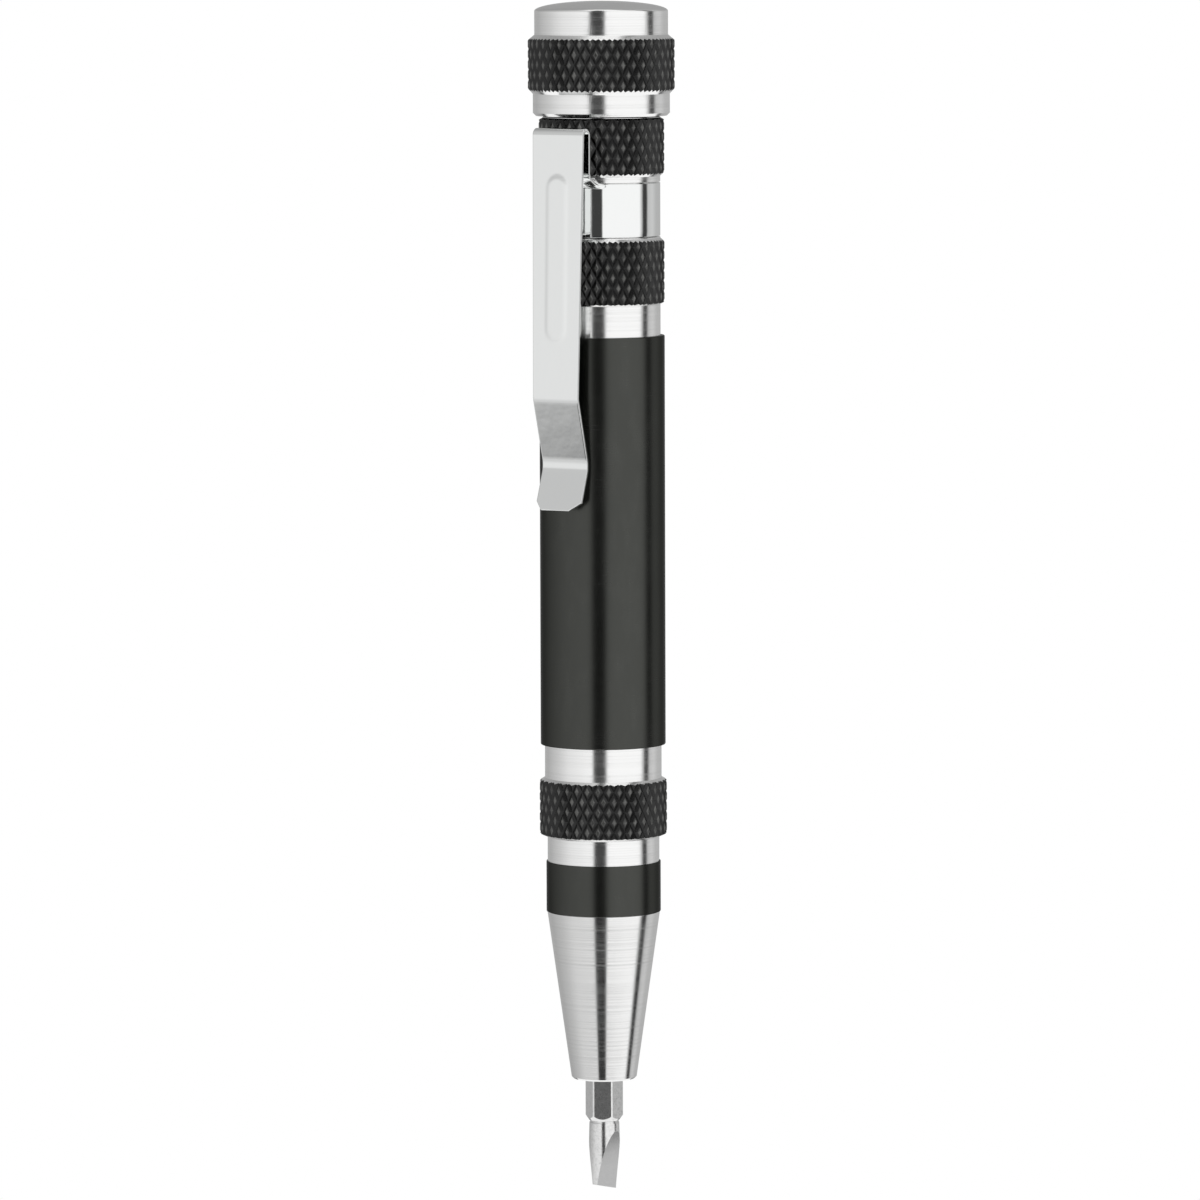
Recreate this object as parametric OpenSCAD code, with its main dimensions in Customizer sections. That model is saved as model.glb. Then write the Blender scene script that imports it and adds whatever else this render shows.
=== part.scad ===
// Pocket screwdriver with a pen clip. Turned aluminium body, screw cap, and bits stored in two trays.
// The tool axis is Z, with the cap up. The origin is the middle of the fitted blade's end.

/* [Bits] */
// Width of the hexagon shank across its flats
bit_af = 4.0; // [3.8:0.05:4.2]
// Length of every bit from end to end
bit_len = 28; // [26:0.5:30]
// Length of the fitted bit that shows below the nose
bit_reach = 13.7; // [12.5:0.1:15]
// Height above the tip at which the hexagon begins
bit_hex_start = 9.2; // [8.4:0.1:10.5]
// Length of the cone between hexagon and neck
bit_shoulder = 1.7; // [1:0.1:2.4]
// Diameter of the fitted bit's neck
bit_neck_d = 3.66; // [3.2:0.02:3.8]
// Size of the chamfer on a shank's rear end
bit_rear_chamfer = 0.35; // [0.1:0.05:0.6]
// Width of the fitted blade at its end
blade_w = 4.0; // [3.6:0.1:4.2]
// Thickness of the fitted blade at its end
blade_t = 0.46; // [0.3:0.02:0.8]
// Radius of the wheel that ground the blade's two faces
grind_r = 38; // [25:1:60]
// Lean of each ground face at the blade's end, in degrees
grind_lean = 6.6; // [4:0.2:9]
// Direction that the fitted blade faces about the axis, in degrees
bit_turn = -36.5; // [-180:0.5:180]

/* [Nose] */
// Diameter of the nose's flat end
nose_end_d = 7.84; // [7.4:0.05:9]
// Rounding of the nose's end edge
nose_edge = 0.3; // [0.1:0.05:0.5]
// Length of the bright cone
cone_len = 19.85; // [16:0.1:24]
// Diameter of the cone where it meets the black band
cone_top_d = 13.54; // [12.6:0.05:14]
// Length of the black band above the cone
black_band_len = 6.15; // [4:0.1:9]
// How far the black band stands out from the cone's edge
black_band_rise = 0.1; // [0.05:0.05:0.3]
// Length of the bright band under the nose's knurl
low_silver_len = 3.3; // [2:0.1:5]
// Diameter of the bright band under the nose's knurl
low_silver_d = 13.42; // [12.8:0.02:13.8]
// Length of the nose's knurl
nose_knurl_len = 7.2; // [5:0.1:10]
// How far the nose's knurl stands out from the barrel's knurls
nose_knurl_rise = 0.15; // [0:0.05:0.3]
// Length of the bright band between the nose's knurl and the barrel
mid_silver_len = 3.95; // [2.5:0.05:6]
// Length of the spigot that holds the nose in the barrel
spigot_len = 7.6; // [5:0.1:9]

/* [Barrel] */
// Diameter of the plain black barrel
barrel_d = 15; // [14.7:0.05:16]
// Length of the plain black barrel
plain_len = 49.1; // [44:0.1:60]
// Length of the bright band above the plain barrel
top_silver_len = 3.7; // [2.5:0.1:5]
// Wall of the barrel under the clip's groove
groove_wall = 0.66; // [0.5:0.02:1]
// How far the bright bands are cut below the barrel's knurls
silver_cut = 0.5; // [0.45:0.05:0.8]
// Length of the knurl under the clip
mid_knurl_len = 8.1; // [6:0.05:11]
// Length of the knurl above the clip
neck_knurl_len = 7.2; // [6:0.05:10]
// Length of the threaded neck inside the cap
neck_len = 5.65; // [4.5:0.05:7]

/* [Knurl] */
// Width of one knurl diamond round the part
knurl_pitch = 1.34; // [1.1:0.02:2]
// Height of one knurl diamond along the part
knurl_rise = 2.44; // [1.8:0.02:3.2]
// Depth of the knurl's grooves
knurl_depth = 0.4; // [0.25:0.02:0.42]
// Length of the bright chamfers beside the clip's groove
knurl_chamfer = 0.55; // [0.3:0.05:0.7]

/* [Cap] */
// Diameter of the bright skirt at the cap's mouth
skirt_d = 16.34; // [16:0.02:16.8]
// Length of the bright skirt at the cap's mouth
skirt_len = 2.55; // [1.8:0.05:4]
// Diameter over the cap's knurl
cap_knurl_d = 17.52; // [17.3:0.02:18.4]
// Length of the cap's knurl
cap_knurl_len = 7.15; // [5.5:0.05:9]
// Diameter of the bright head of the cap
head_d = 15.94; // [15:0.02:16.2]
// Height of the bright head up to its rim
head_len = 3.0; // [2:0.05:4.5]
// Height of the crown above the rim
crown_rise = 0.95; // [0.4:0.05:1.6]
// Thickness of the soft pad in the cap
pad_t = 1.5; // [1:0.1:2]
// Thickness of the cap's top over the pad
cap_top_t = 2.35; // [1.8:0.05:3]

/* [Threads] */
// Pitch of the cap's thread
thread_pitch = 0.75; // [0.6:0.05:1]
// Height of a thread ridge
thread_h = 0.25; // [0.15:0.05:0.3]

/* [Clip] */
// Thickness of the clip's spring steel
sheet_t = 0.4; // [0.3:0.02:0.42]
// Direction of the clip about the axis, in degrees
clip_turn = 236; // [0:1:359]
// Height of the clip's ring
ring_h = 6.9; // [5.5:0.1:8]
// Opening of the clip's ring at its back, in degrees
ring_gap = 52; // [30:1:90]
// Width of the clip's tongue at its top
tongue_w = 7.2; // [6.4:0.1:7.6]
// Width of the clip's tongue from the first bend down
tongue_low_w = 6.4; // [5.6:0.1:7]
// Height from the ring's top edge to the top of the fold
fold_rise = 5.7; // [4.6:0.1:6]
// Gap between riser and tongue at the fold
fold_gap = 0.9; // [0.6:0.05:1.2]
// Length of the tongue from the fold's top to its first bend
tongue_len = 32.15; // [28:0.1:38]
// How far the tongue leans out over its length
tongue_lean = 0.6; // [0.2:0.05:1]
// Length from the first bend to the bend that touches the barrel
dip_len = 7.4; // [6:0.1:9]
// Length from the touching bend to the tongue's end
lip_len = 5.55; // [4:0.05:7]
// How far the tongue's end stands out from the touching bend
lip_lift = 1.05; // [0.7:0.05:1.6]
// Radius of the tongue's bends at the middle of the sheet
bend_r = 1.2; // [0.8:0.1:1.8]
// Width of each clipped corner at the tongue's end
tip_corner_w = 1.4; // [0.8:0.1:2]
// Height of each clipped corner at the tongue's end
tip_corner_h = 1.1; // [0.6:0.1:1.6]
// Width of the pressed rib on the tongue
rib_w = 2.7; // [1.6:0.1:3.4]
// Length of the pressed rib on the tongue
rib_len = 20; // [14:0.5:24]
// Distance from the fold's top to the rib's upper end
rib_drop = 5.6; // [4:0.1:7]
// Height of the pressed rib
rib_h = 0.14; // [0.08:0.02:0.2]

/* [Trays] */
// Thinnest plastic between two neighbouring bit pockets
tray_web = 0.35; // [0.25:0.05:0.5]
// Thickness of a tray's end discs
tray_end_t = 1.6; // [1.2:0.1:2.2]
// Diameter of the pull knob on the upper tray
knob_d = 8; // [6:0.2:9]
// Thickness of the pull knob's disc
knob_t = 1.7; // [1.2:0.1:2.2]
// Diameter of the stem under the pull knob
stem_d = 5; // [4:0.2:5.4]

/* [Socket] */
// Wall of the steel socket at a corner of the hexagon
socket_wall = 0.65; // [0.5:0.05:0.75]
// How far the socket sits back from the nose's end
socket_setback = 0.3; // [0.1:0.05:0.6]
// Length of the socket's magnet
magnet_len = 3; // [2:0.1:4]

/* [Clearances] */
// Gap on each side of a bit in a tray pocket
pocket_clear = 0.1; // [0.05:0.01:0.15]
// Gap between tray and barrel bore
tray_clear = 0.16; // [0.1:0.01:0.25]
// Gap between faces that rest end to end
stack_gap = 0.1; // [0.05:0.01:0.2]
// Gap on each side of a pressed piece
press_clear = 0.02; // [0.01:0.01:0.04]
// Gap on each side of the bit in its socket
socket_clear = 0.03; // [0.02:0.01:0.06]
// Gap between the clip's ring and its groove
ring_clear = 0.05; // [0.03:0.01:0.08]
// Gap between thread crests, riser, touching bend and what they pass
skim_clear = 0.08; // [0.06:0.01:0.12]

/* [Hidden] */
$fn = 96;
// Overrun of every cut past the face that it leaves
over = 1;
// Small break on turned edges
edge_break = 0.12;
// Depth by which a knurl's ends and a strip's root are buried in what carries them
bury = 0.06;

// Bits, sockets and trays across the axis
bit_ac = bit_af / cos(30);
pocket_af = bit_af + 2 * pocket_clear;
pocket_ac = pocket_af / cos(30);
bit_ring_r = (pocket_ac / 2 * cos(15) + tray_web / 2) * sqrt(2);
bit_corner_r = norm([bit_ring_r + bit_af / 2, bit_ac / 4]);
tray_r = bit_corner_r + pocket_clear / 2;
bore_r = tray_r + tray_clear;
socket_af = bit_af + 2 * socket_clear;
socket_r = socket_af / cos(30) / 2 + socket_wall;

// Barrel radii from the bore outwards: the clip's ring lies flush with the bright bands
barrel_r = barrel_d / 2;
groove_r = bore_r + groove_wall;
silver_r = groove_r + ring_clear + sheet_t;
knurl_r = silver_r + silver_cut;
thread_r = silver_r - edge_break / 4;
nut_r = thread_r + skim_clear;
nose_peak_r = knurl_r + nose_knurl_rise;

// Heights from the tip up
z_nose = bit_reach;
z_cone = z_nose + cone_len;
z_band = z_cone + black_band_len;
z_low_silver = z_band + low_silver_len;
z_nose_knurl = z_low_silver + nose_knurl_len;
z_joint = z_nose_knurl + mid_silver_len;
z_plain = z_joint + plain_len;
z_top_silver = z_plain + top_silver_len;
z_groove = z_top_silver + mid_knurl_len;
z_ring = z_groove + stack_gap;
z_ring_top = z_ring + ring_h;
z_groove_top = z_ring_top + stack_gap;
z_neck = z_groove_top + neck_knurl_len;
z_mouth = z_neck + neck_len;
z_spigot = z_joint + spigot_len;

// Heights in the cap
z_cap = z_neck + stack_gap;
z_skirt = z_cap + skirt_len;
z_cap_knurl = z_skirt + cap_knurl_len;
z_rim = z_cap_knurl + head_len;
z_ceiling = z_rim - cap_top_t;
z_pad = z_ceiling - stack_gap / 2 - pad_t;

// Heights of the trays
pocket_len = bit_len + 3 * pocket_clear;
tray_len = pocket_len + 2 * tray_end_t;
z_lower_tray = z_spigot + stack_gap;
z_upper_tray = z_lower_tray + tray_len + stack_gap;
z_tray_top = z_upper_tray + tray_len;
z_knob = z_pad - 3 * stack_gap;

// Clip: distances of the sheet's middle from the axis, and heights
riser_x = knurl_r + skim_clear + sheet_t / 2;
tongue_x = riser_x + fold_gap + sheet_t;
dip_x = barrel_r + skim_clear + sheet_t / 2;
z_fold = z_ring_top + fold_rise - sheet_t / 2;
z_first_bend = z_fold - tongue_len;
z_dip = z_first_bend - dip_len;
z_lip = z_dip - lip_len;
fold_r = (tongue_x - riser_x) / 2 * 0.98;
z_split = z_fold - fold_r - 2 * bury;
split_gap = sheet_t / 8;
z_riser = z_groove_top + silver_cut / 2;
lean_angle = atan(tongue_lean / tongue_len);

// Direction of a vector, and the vector turned a quarter to the left or by an angle
function unit(v) = v / norm(v);
function left(v) = [-v[1], v[0]];
function turned(v, a) = [v[0] * cos(a) - v[1] * sin(a), v[0] * sin(a) + v[1] * cos(a)];

// One side of a rounded corner a-b-c of a bent strip, at the distance off from its middle line
function corner(a, b, c, r, off, steps = 6) =
    let (
        u = unit(b - a),
        v = unit(c - b),
        turn = atan2(u[0] * v[1] - u[1] * v[0], u * v),
        side = sign(turn),
        centre = b - u * r * tan(abs(turn) / 2) + left(u) * side * r
    )
    [for (i = [0:steps]) centre - turned(left(u), turn * i / steps) * side * (r - side * off)];

// One side of a bent strip that follows the points p with the bend radii r
function strip_side(p, r, off) =
    let (
        last = len(p) - 1,
        first_dir = unit(p[1] - p[0]),
        last_dir = unit(p[last] - p[last - 1])
    )
    concat(
        [p[0] + left(first_dir) * off],
        [for (k = [1:last - 1]) each corner(p[k - 1], p[k], p[k + 1], r[k - 1], off)],
        [p[last] + left(last_dir) * off]
    );

function reversed(list) = [for (i = [len(list) - 1:-1:0]) list[i]];

// A strip of sheet, w wide, bent along the points p with the bend radii r, standing in the clip's frame
module bent_strip(p, r, w) {
    side_a = strip_side(p, r, sheet_t / 2);
    side_b = reversed(strip_side(p, r, -sheet_t / 2));
    rotate([90, 0, 0])
        translate([0, 0, -w / 2])
            linear_extrude(w)
                polygon(concat(side_a, side_b));
}

// A hexagonal prism with two flats that face +X and -X
module hex_prism(af, h) {
    rotate([0, 0, 30])
        cylinder(d = af / cos(30), h = h, $fn = 6);
}

// A knurled disc: a grid of diamonds between two plain end rings, all as one closed surface
module knurl(z0, z1, low, high, r0, r1, root, peak) {
    m = 2 * round(2 * PI * peak / knurl_pitch);
    rows = max(2, round((z1 - z0 - low - high) * 2 / knurl_rise));
    row_h = (z1 - z0 - low - high) / rows;
    function at(r, i, z) = [r * cos(i * 360 / m), r * sin(i * 360 / m), z];
    points = concat(
        [for (i = [0:m - 1]) at(r0, i, z0)],
        [for (j = [0:rows]) for (i = [0:m - 1])
            at((i + j) % 2 == 0 ? root : peak, i, z0 + low + j * row_h)],
        [for (i = [0:m - 1]) at(r1, i, z1)]
    );
    function id(k, i) = k * m + i % m;
    walls = [for (k = [0:rows + 1]) for (i = [0:m - 1])
        each (i + k) % 2 == 1
            ? [[id(k, i), id(k + 1, i), id(k + 1, i + 1)], [id(k, i), id(k + 1, i + 1), id(k, i + 1)]]
            : [[id(k, i), id(k + 1, i), id(k, i + 1)], [id(k, i + 1), id(k + 1, i), id(k + 1, i + 1)]]];
    bottom = [for (i = [0:m - 1]) id(0, i)];
    top = [for (i = [m - 1:-1:0]) id(rows + 2, i)];
    polyhedron(points = points, faces = concat([bottom], walls, [top]));
}

// Points of a thread's ridges along a wall at the radius r, reaching h further out, or in if h is negative
function ridges(r, h, z0, z1) =
    let (count = floor((z1 - z0) / thread_pitch))
    [for (i = [0:count - 1]) each [
        [r, z0 + i * thread_pitch],
        [r + h, z0 + (i + 0.4) * thread_pitch],
        [r + h, z0 + (i + 0.6) * thread_pitch],
        [r, z0 + (i + 1) * thread_pitch]
    ]];

module end_cap() {
    head_r = head_d / 2;
    skirt_r = skirt_d / 2;
    recess_r = bore_r + sheet_t;
    crown_steps = 12;
    crown = [for (i = [0:crown_steps - 1])
        [head_r * cos(90 * i / crown_steps), z_rim + crown_rise * sin(90 * i / crown_steps)]];
    z_swap = z_skirt + cap_knurl_len / 2;
    nut_root_r = nut_r + thread_h;
    z_nut_top = z_mouth + stack_gap;
    outer = concat(
        [
            [0, z_cap],
            [skirt_r - 2 * edge_break, z_cap],
            [skirt_r, z_cap + 2 * edge_break],
            [skirt_r, z_swap],
            [head_r, z_swap]
        ],
        crown,
        [[0, z_rim + crown_rise]]
    );
    inner = concat(
        [
            [0, z_cap - over],
            [0, z_ceiling],
            [recess_r, z_ceiling],
            [recess_r, z_nut_top],
            [nut_root_r, z_nut_top]
        ],
        reversed(ridges(nut_root_r, -thread_h, z_cap + thread_pitch, z_nut_top)),
        [[nut_root_r, z_cap - over]]
    );
    color([0.80, 0.80, 0.80])
        difference() {
            union() {
                rotate_extrude()
                    polygon(outer);
                knurl(z_skirt, z_cap_knurl, 0.4 * knurl_chamfer, 0.4 * knurl_chamfer,
                    skirt_r - bury, head_r - bury, cap_knurl_d / 2 - knurl_depth, cap_knurl_d / 2);
            }
            rotate_extrude()
                polygon(inner);
        }
}

module cap_pad() {
    color([0.16, 0.16, 0.17])
        translate([0, 0, z_pad])
            cylinder(r = bore_r + sheet_t - skim_clear, h = pad_t);
}

module barrel() {
    relief_r = thread_r - thread_h;
    profile = concat(
        [
            [0, z_joint],
            [barrel_r - edge_break, z_joint],
            [barrel_r, z_joint + edge_break],
            [barrel_r, z_plain - edge_break],
            [barrel_r - edge_break, z_plain],
            [silver_r, z_plain],
            [silver_r, z_groove],
            [groove_r, z_groove],
            [groove_r, z_groove_top],
            [silver_r, z_groove_top],
            [silver_r, z_neck],
            [relief_r, z_neck]
        ],
        ridges(relief_r, thread_h, z_neck + thread_pitch, z_mouth - thread_pitch / 2),
        [[relief_r, z_mouth - edge_break], [relief_r - edge_break, z_mouth], [0, z_mouth]]
    );
    color([0.13, 0.13, 0.13])
        difference() {
            union() {
                rotate_extrude()
                    polygon(profile);
                knurl(z_top_silver, z_groove - bury, 2 * bury, knurl_chamfer,
                    silver_r - bury, silver_r - bury, knurl_r - knurl_depth, knurl_r);
                knurl(z_groove_top + bury, z_neck - bury, knurl_chamfer - bury, 2 * bury,
                    silver_r - bury, silver_r - bury, knurl_r - knurl_depth, knurl_r);
            }
            translate([0, 0, z_joint - over])
                cylinder(r = bore_r, h = z_mouth - z_joint + 2 * over);
        }
}

module nose() {
    nose_r = nose_end_d / 2;
    cone_r = cone_top_d / 2;
    band_r = cone_r + black_band_rise;
    low_r = low_silver_d / 2;
    z_swap = z_low_silver + nose_knurl_len / 2;
    spigot_r = bore_r - press_clear;
    glue_groove = 0.3 * (spigot_r - socket_r);
    z_glue = z_joint + spigot_len / 2;
    socket_depth = bit_len - bit_reach + 2 * stack_gap + magnet_len;
    profile = [
        [0, z_nose],
        [nose_r - nose_edge, z_nose],
        [nose_r - nose_edge * 0.3, z_nose + nose_edge * 0.3],
        [nose_r + nose_edge * (cone_r - nose_r) / cone_len, z_nose + nose_edge],
        [cone_r, z_cone],
        [band_r - edge_break / 2, z_cone],
        [band_r, z_cone + edge_break / 2],
        [band_r, z_band - edge_break / 2],
        [band_r - edge_break / 2, z_band],
        [low_r, z_band],
        [low_r, z_swap],
        [silver_r, z_swap],
        [silver_r, z_joint],
        [spigot_r, z_joint],
        [spigot_r, z_glue],
        [spigot_r - glue_groove, z_glue + glue_groove],
        [spigot_r - glue_groove, z_glue + 3 * glue_groove],
        [spigot_r, z_glue + 4 * glue_groove],
        [spigot_r, z_spigot - 4 * edge_break],
        [spigot_r - 4 * edge_break, z_spigot],
        [0, z_spigot]
    ];
    color([0.78, 0.78, 0.78])
        difference() {
            union() {
                rotate_extrude()
                    polygon(profile);
                knurl(z_low_silver, z_nose_knurl, 0.4 * knurl_chamfer, 0.4 * knurl_chamfer,
                    low_r - bury, silver_r - bury, nose_peak_r - knurl_depth, nose_peak_r);
            }
            translate([0, 0, z_nose - over])
                cylinder(r = socket_r + press_clear, h = over + socket_depth);
        }
}

module bit_socket() {
    h = bit_len - bit_reach - socket_setback + stack_gap;
    color([0.45, 0.46, 0.48])
        translate([0, 0, z_nose + socket_setback])
            difference() {
                cylinder(r = socket_r, h = h);
                rotate([0, 0, bit_turn])
                    translate([0, 0, -over])
                        hex_prism(socket_af, h + 2 * over);
            }
}

module socket_magnet() {
    color([0.6, 0.6, 0.62])
        translate([0, 0, bit_len + stack_gap])
            cylinder(r = socket_r - skim_clear, h = magnet_len);
}

// The hexagon shank of a bit whose hexagon starts at the height start, cut to cones at both ends
module shank(start, neck_r) {
    slope = (bit_ac / 2 - neck_r) / bit_shoulder;
    intersection() {
        translate([0, 0, start - bit_shoulder])
            hex_prism(bit_af, bit_len - start + bit_shoulder);
        rotate_extrude()
            polygon([
                [0, start - bit_shoulder],
                [neck_r, start - bit_shoulder],
                [bit_ac / 2 + over * slope, start + over],
                [bit_ac / 2 + over * slope, bit_len - over],
                [bit_ac / 2 - bit_rear_chamfer, bit_len],
                [0, bit_len]
            ]);
    }
}

// A slotted bit: the blade's width and end thickness, its neck and the height of its hexagon
module slotted_bit(w, t, neck_r, start) {
    wheel_x = t / 2 + grind_r * cos(grind_lean);
    wheel_z = -grind_r * sin(grind_lean);
    shank(start, neck_r);
    difference() {
        rotate_extrude()
            polygon([
                [0, 0],
                [w / 2, 0],
                [neck_r, start - bit_shoulder - bury],
                [neck_r, start - bit_shoulder + bury],
                [0, start - bit_shoulder + bury]
            ]);
        for (side = [-1, 1])
            translate([side * wheel_x, 0, wheel_z])
                rotate([90, 0, 0])
                    cylinder(r = grind_r, h = bit_af + 2 * over, center = true);
    }
}

// A cross-head bit: the shank's neck, the flat point's radius and the height of its hexagon
module phillips_bit(neck_r, point_r, start) {
    cone_h = (neck_r - point_r) / tan(26.5);
    flute_r = neck_r * 0.55;
    shank(start, neck_r);
    difference() {
        rotate_extrude()
            polygon([
                [0, 0],
                [point_r, 0],
                [neck_r, cone_h],
                [neck_r, start - bit_shoulder + bury],
                [0, start - bit_shoulder + bury]
            ]);
        for (k = [0:3])
            rotate([0, 0, 45 + 90 * k])
                translate([point_r * 0.6, 0, 0])
                    rotate([0, 5.5, 0])
                        translate([0, 0, -neck_r])
                            linear_extrude(cone_h * 2.6 + neck_r)
                                polygon([
                                    [0, 0],
                                    [neck_r * 1.4, flute_r * 1.5],
                                    [neck_r * 1.4, -flute_r * 1.5]
                                ]);
    }
}

module driver_bit() {
    color([0.62, 0.62, 0.63])
        rotate([0, 0, bit_turn])
            slotted_bit(blade_w, blade_t, bit_neck_d / 2, bit_hex_start);
}

// Puts a bit into pocket k of the tray that starts at the height z
module stored(z, k) {
    rotate([0, 0, 45 + 90 * k])
        translate([bit_ring_r, 0, z + tray_end_t + pocket_clear])
            children();
}

module slotted_bit_small() {
    color([0.62, 0.62, 0.63])
        stored(z_upper_tray, 0)
            slotted_bit(0.375 * blade_w, 0.5 * blade_t, 0.41 * bit_neck_d / 2, bit_hex_start);
}

module slotted_bit_medium() {
    color([0.62, 0.62, 0.63])
        stored(z_upper_tray, 1)
            slotted_bit(0.5 * blade_w, 0.65 * blade_t, 0.55 * bit_neck_d / 2, bit_hex_start);
}

module slotted_bit_large() {
    color([0.62, 0.62, 0.63])
        stored(z_upper_tray, 2)
            slotted_bit(0.75 * blade_w, 0.85 * blade_t, 0.8 * bit_neck_d / 2, bit_hex_start);
}

module phillips_bit_000() {
    color([0.62, 0.62, 0.63])
        stored(z_lower_tray, 0)
            phillips_bit(0.42 * bit_neck_d / 2, 0.1 * bit_neck_d / 2, bit_hex_start);
}

module phillips_bit_00() {
    color([0.62, 0.62, 0.63])
        stored(z_lower_tray, 1)
            phillips_bit(0.55 * bit_neck_d / 2, 0.15 * bit_neck_d / 2, bit_hex_start);
}

module phillips_bit_0() {
    color([0.62, 0.62, 0.63])
        stored(z_lower_tray, 2)
            phillips_bit(0.8 * bit_neck_d / 2, 0.22 * bit_neck_d / 2, bit_hex_start);
}

module phillips_bit_1() {
    color([0.62, 0.62, 0.63])
        stored(z_lower_tray, 3)
            phillips_bit(bit_neck_d / 2, 0.34 * bit_neck_d / 2, bit_hex_start);
}

// A clear tray: a cylinder with four bit pockets, half a hexagon each, that open sideways
module bit_tray(z) {
    pocket = [
        [-pocket_af / 2, -pocket_ac / 4],
        [0, -pocket_ac / 2],
        [tray_r, -pocket_ac / 2],
        [tray_r, pocket_ac / 2],
        [0, pocket_ac / 2],
        [-pocket_af / 2, pocket_ac / 4]
    ];
    translate([0, 0, z])
        difference() {
            cylinder(r = tray_r, h = tray_len);
            for (k = [0:3])
                rotate([0, 0, 45 + 90 * k])
                    translate([bit_ring_r, 0, tray_end_t])
                        linear_extrude(pocket_len)
                            polygon(pocket);
        }
}

module upper_bit_tray() {
    color([0.75, 0.8, 0.82])
        union() {
            bit_tray(z_upper_tray);
            translate([0, 0, z_tray_top - tray_end_t / 2])
                cylinder(d = stem_d, h = z_knob - z_tray_top + tray_end_t / 2 - knob_t / 2);
            translate([0, 0, z_knob - knob_t])
                cylinder(d = knob_d, h = knob_t);
        }
}

module lower_bit_tray() {
    color([0.75, 0.8, 0.82])
        bit_tray(z_lower_tray);
}

// The curved piece between the ring's top edge and the flat riser, as one closed surface
module riser_root() {
    across = 12;
    up = 6;
    half_w = tongue_w / 2;
    t = sheet_t - bury;
    ring_mid = groove_r + ring_clear + sheet_t / 2;
    z0 = z_ring_top - silver_cut;
    z1 = z_riser + 2 * bury;
    function ease(v) = v * v * (3 - 2 * v);
    function ring_at(u) = turned([1, 0], u * asin(half_w / ring_mid));
    function at(u, v, off) =
        let (
            d = ring_at(u),
            e = ease(v),
            low = d * (ring_mid + off),
            high = [riser_x + off, u * half_w],
            mix = low * (1 - e) + high * e
        )
        [mix[0], mix[1], z0 + (z1 - z0) * v];
    side = (across + 1) * (up + 1);
    points = [for (off = [-t / 2, t / 2]) for (j = [0:up]) for (i = [0:across])
        at(2 * i / across - 1, j / up, off)];
    function id(s, i, j) = s * side + j * (across + 1) + i;
    faces = concat(
        [for (j = [0:up - 1]) for (i = [0:across - 1]) each [
            [id(1, i, j), id(1, i, j + 1), id(1, i + 1, j + 1)],
            [id(1, i, j), id(1, i + 1, j + 1), id(1, i + 1, j)],
            [id(0, i, j), id(0, i + 1, j + 1), id(0, i, j + 1)],
            [id(0, i, j), id(0, i + 1, j), id(0, i + 1, j + 1)]
        ]],
        [for (i = [0:across - 1]) each [
            [id(0, i, 0), id(1, i, 0), id(1, i + 1, 0)],
            [id(0, i, 0), id(1, i + 1, 0), id(0, i + 1, 0)],
            [id(0, i, up), id(1, i + 1, up), id(1, i, up)],
            [id(0, i, up), id(0, i + 1, up), id(1, i + 1, up)]
        ]],
        [for (j = [0:up - 1]) each [
            [id(0, 0, j), id(0, 0, j + 1), id(1, 0, j + 1)],
            [id(0, 0, j), id(1, 0, j + 1), id(1, 0, j)],
            [id(0, across, j), id(1, across, j + 1), id(0, across, j + 1)],
            [id(0, across, j), id(1, across, j), id(1, across, j + 1)]
        ]]
    );
    polyhedron(points = points, faces = faces);
}

module clip_ring() {
    ring_in = groove_r + ring_clear;
    color([0.86, 0.87, 0.87])
        rotate([0, 0, clip_turn])
            union() {
                rotate([0, 0, 180 + ring_gap / 2])
                    rotate_extrude(angle = 360 - ring_gap)
                        translate([ring_in, z_ring])
                            square([sheet_t, ring_h]);
                riser_root();
                translate([riser_x - sheet_t / 2, -tongue_w / 2, z_riser])
                    cube([sheet_t, tongue_w, z_split - split_gap - z_riser]);
            }
}

module clip_tongue() {
    path = [
        [riser_x, z_split],
        [riser_x, z_fold],
        [tongue_x, z_fold],
        [tongue_x + tongue_lean, z_first_bend],
        [dip_x, z_dip],
        [dip_x + lip_lift, z_lip]
    ];
    radii = [fold_r, fold_r, bend_r, bend_r];
    z_top = z_fold + sheet_t;
    color([0.86, 0.87, 0.87])
        rotate([0, 0, clip_turn])
            difference() {
                union() {
                    intersection() {
                        bent_strip(path, radii, tongue_w + over);
                        rotate([90, 0, 90])
                            linear_extrude(2 * barrel_d)
                                polygon([
                                    [tongue_w / 2, z_top],
                                    [-tongue_w / 2, z_top],
                                    [-tongue_w / 2, z_split - sheet_t],
                                    [-tongue_low_w / 2, z_first_bend],
                                    [-tongue_low_w / 2, z_lip + tip_corner_h],
                                    [tip_corner_w - tongue_low_w / 2, z_lip],
                                    [tongue_low_w / 2 - tip_corner_w, z_lip],
                                    [tongue_low_w / 2, z_lip + tip_corner_h],
                                    [tongue_low_w / 2, z_first_bend],
                                    [tongue_w / 2, z_split - sheet_t]
                                ]);
                    }
                    rib(sheet_t / 2 - rib_h, rib_w, 2 * rib_h);
                }
                rib(-sheet_t / 2 - rib_h, rib_w - rib_h * 4, 2 * rib_h);
            }
}

// The pressed rib: a bar with round ends that lies along the leaning tongue, from the distance off out
module rib(off, w, h) {
    translate([tongue_x, 0, z_fold])
        rotate([0, -lean_angle, 0])
            translate([off, 0, -rib_drop])
                rotate([0, 90, 0]) {
                    translate([w / 2, 0, 0])
                        cylinder(d = w, h = h);
                    translate([rib_len - w / 2, 0, 0])
                        cylinder(d = w, h = h);
                    translate([w / 2, -w / 2, 0])
                        cube([rib_len - w, w, h]);
                }
}

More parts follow.
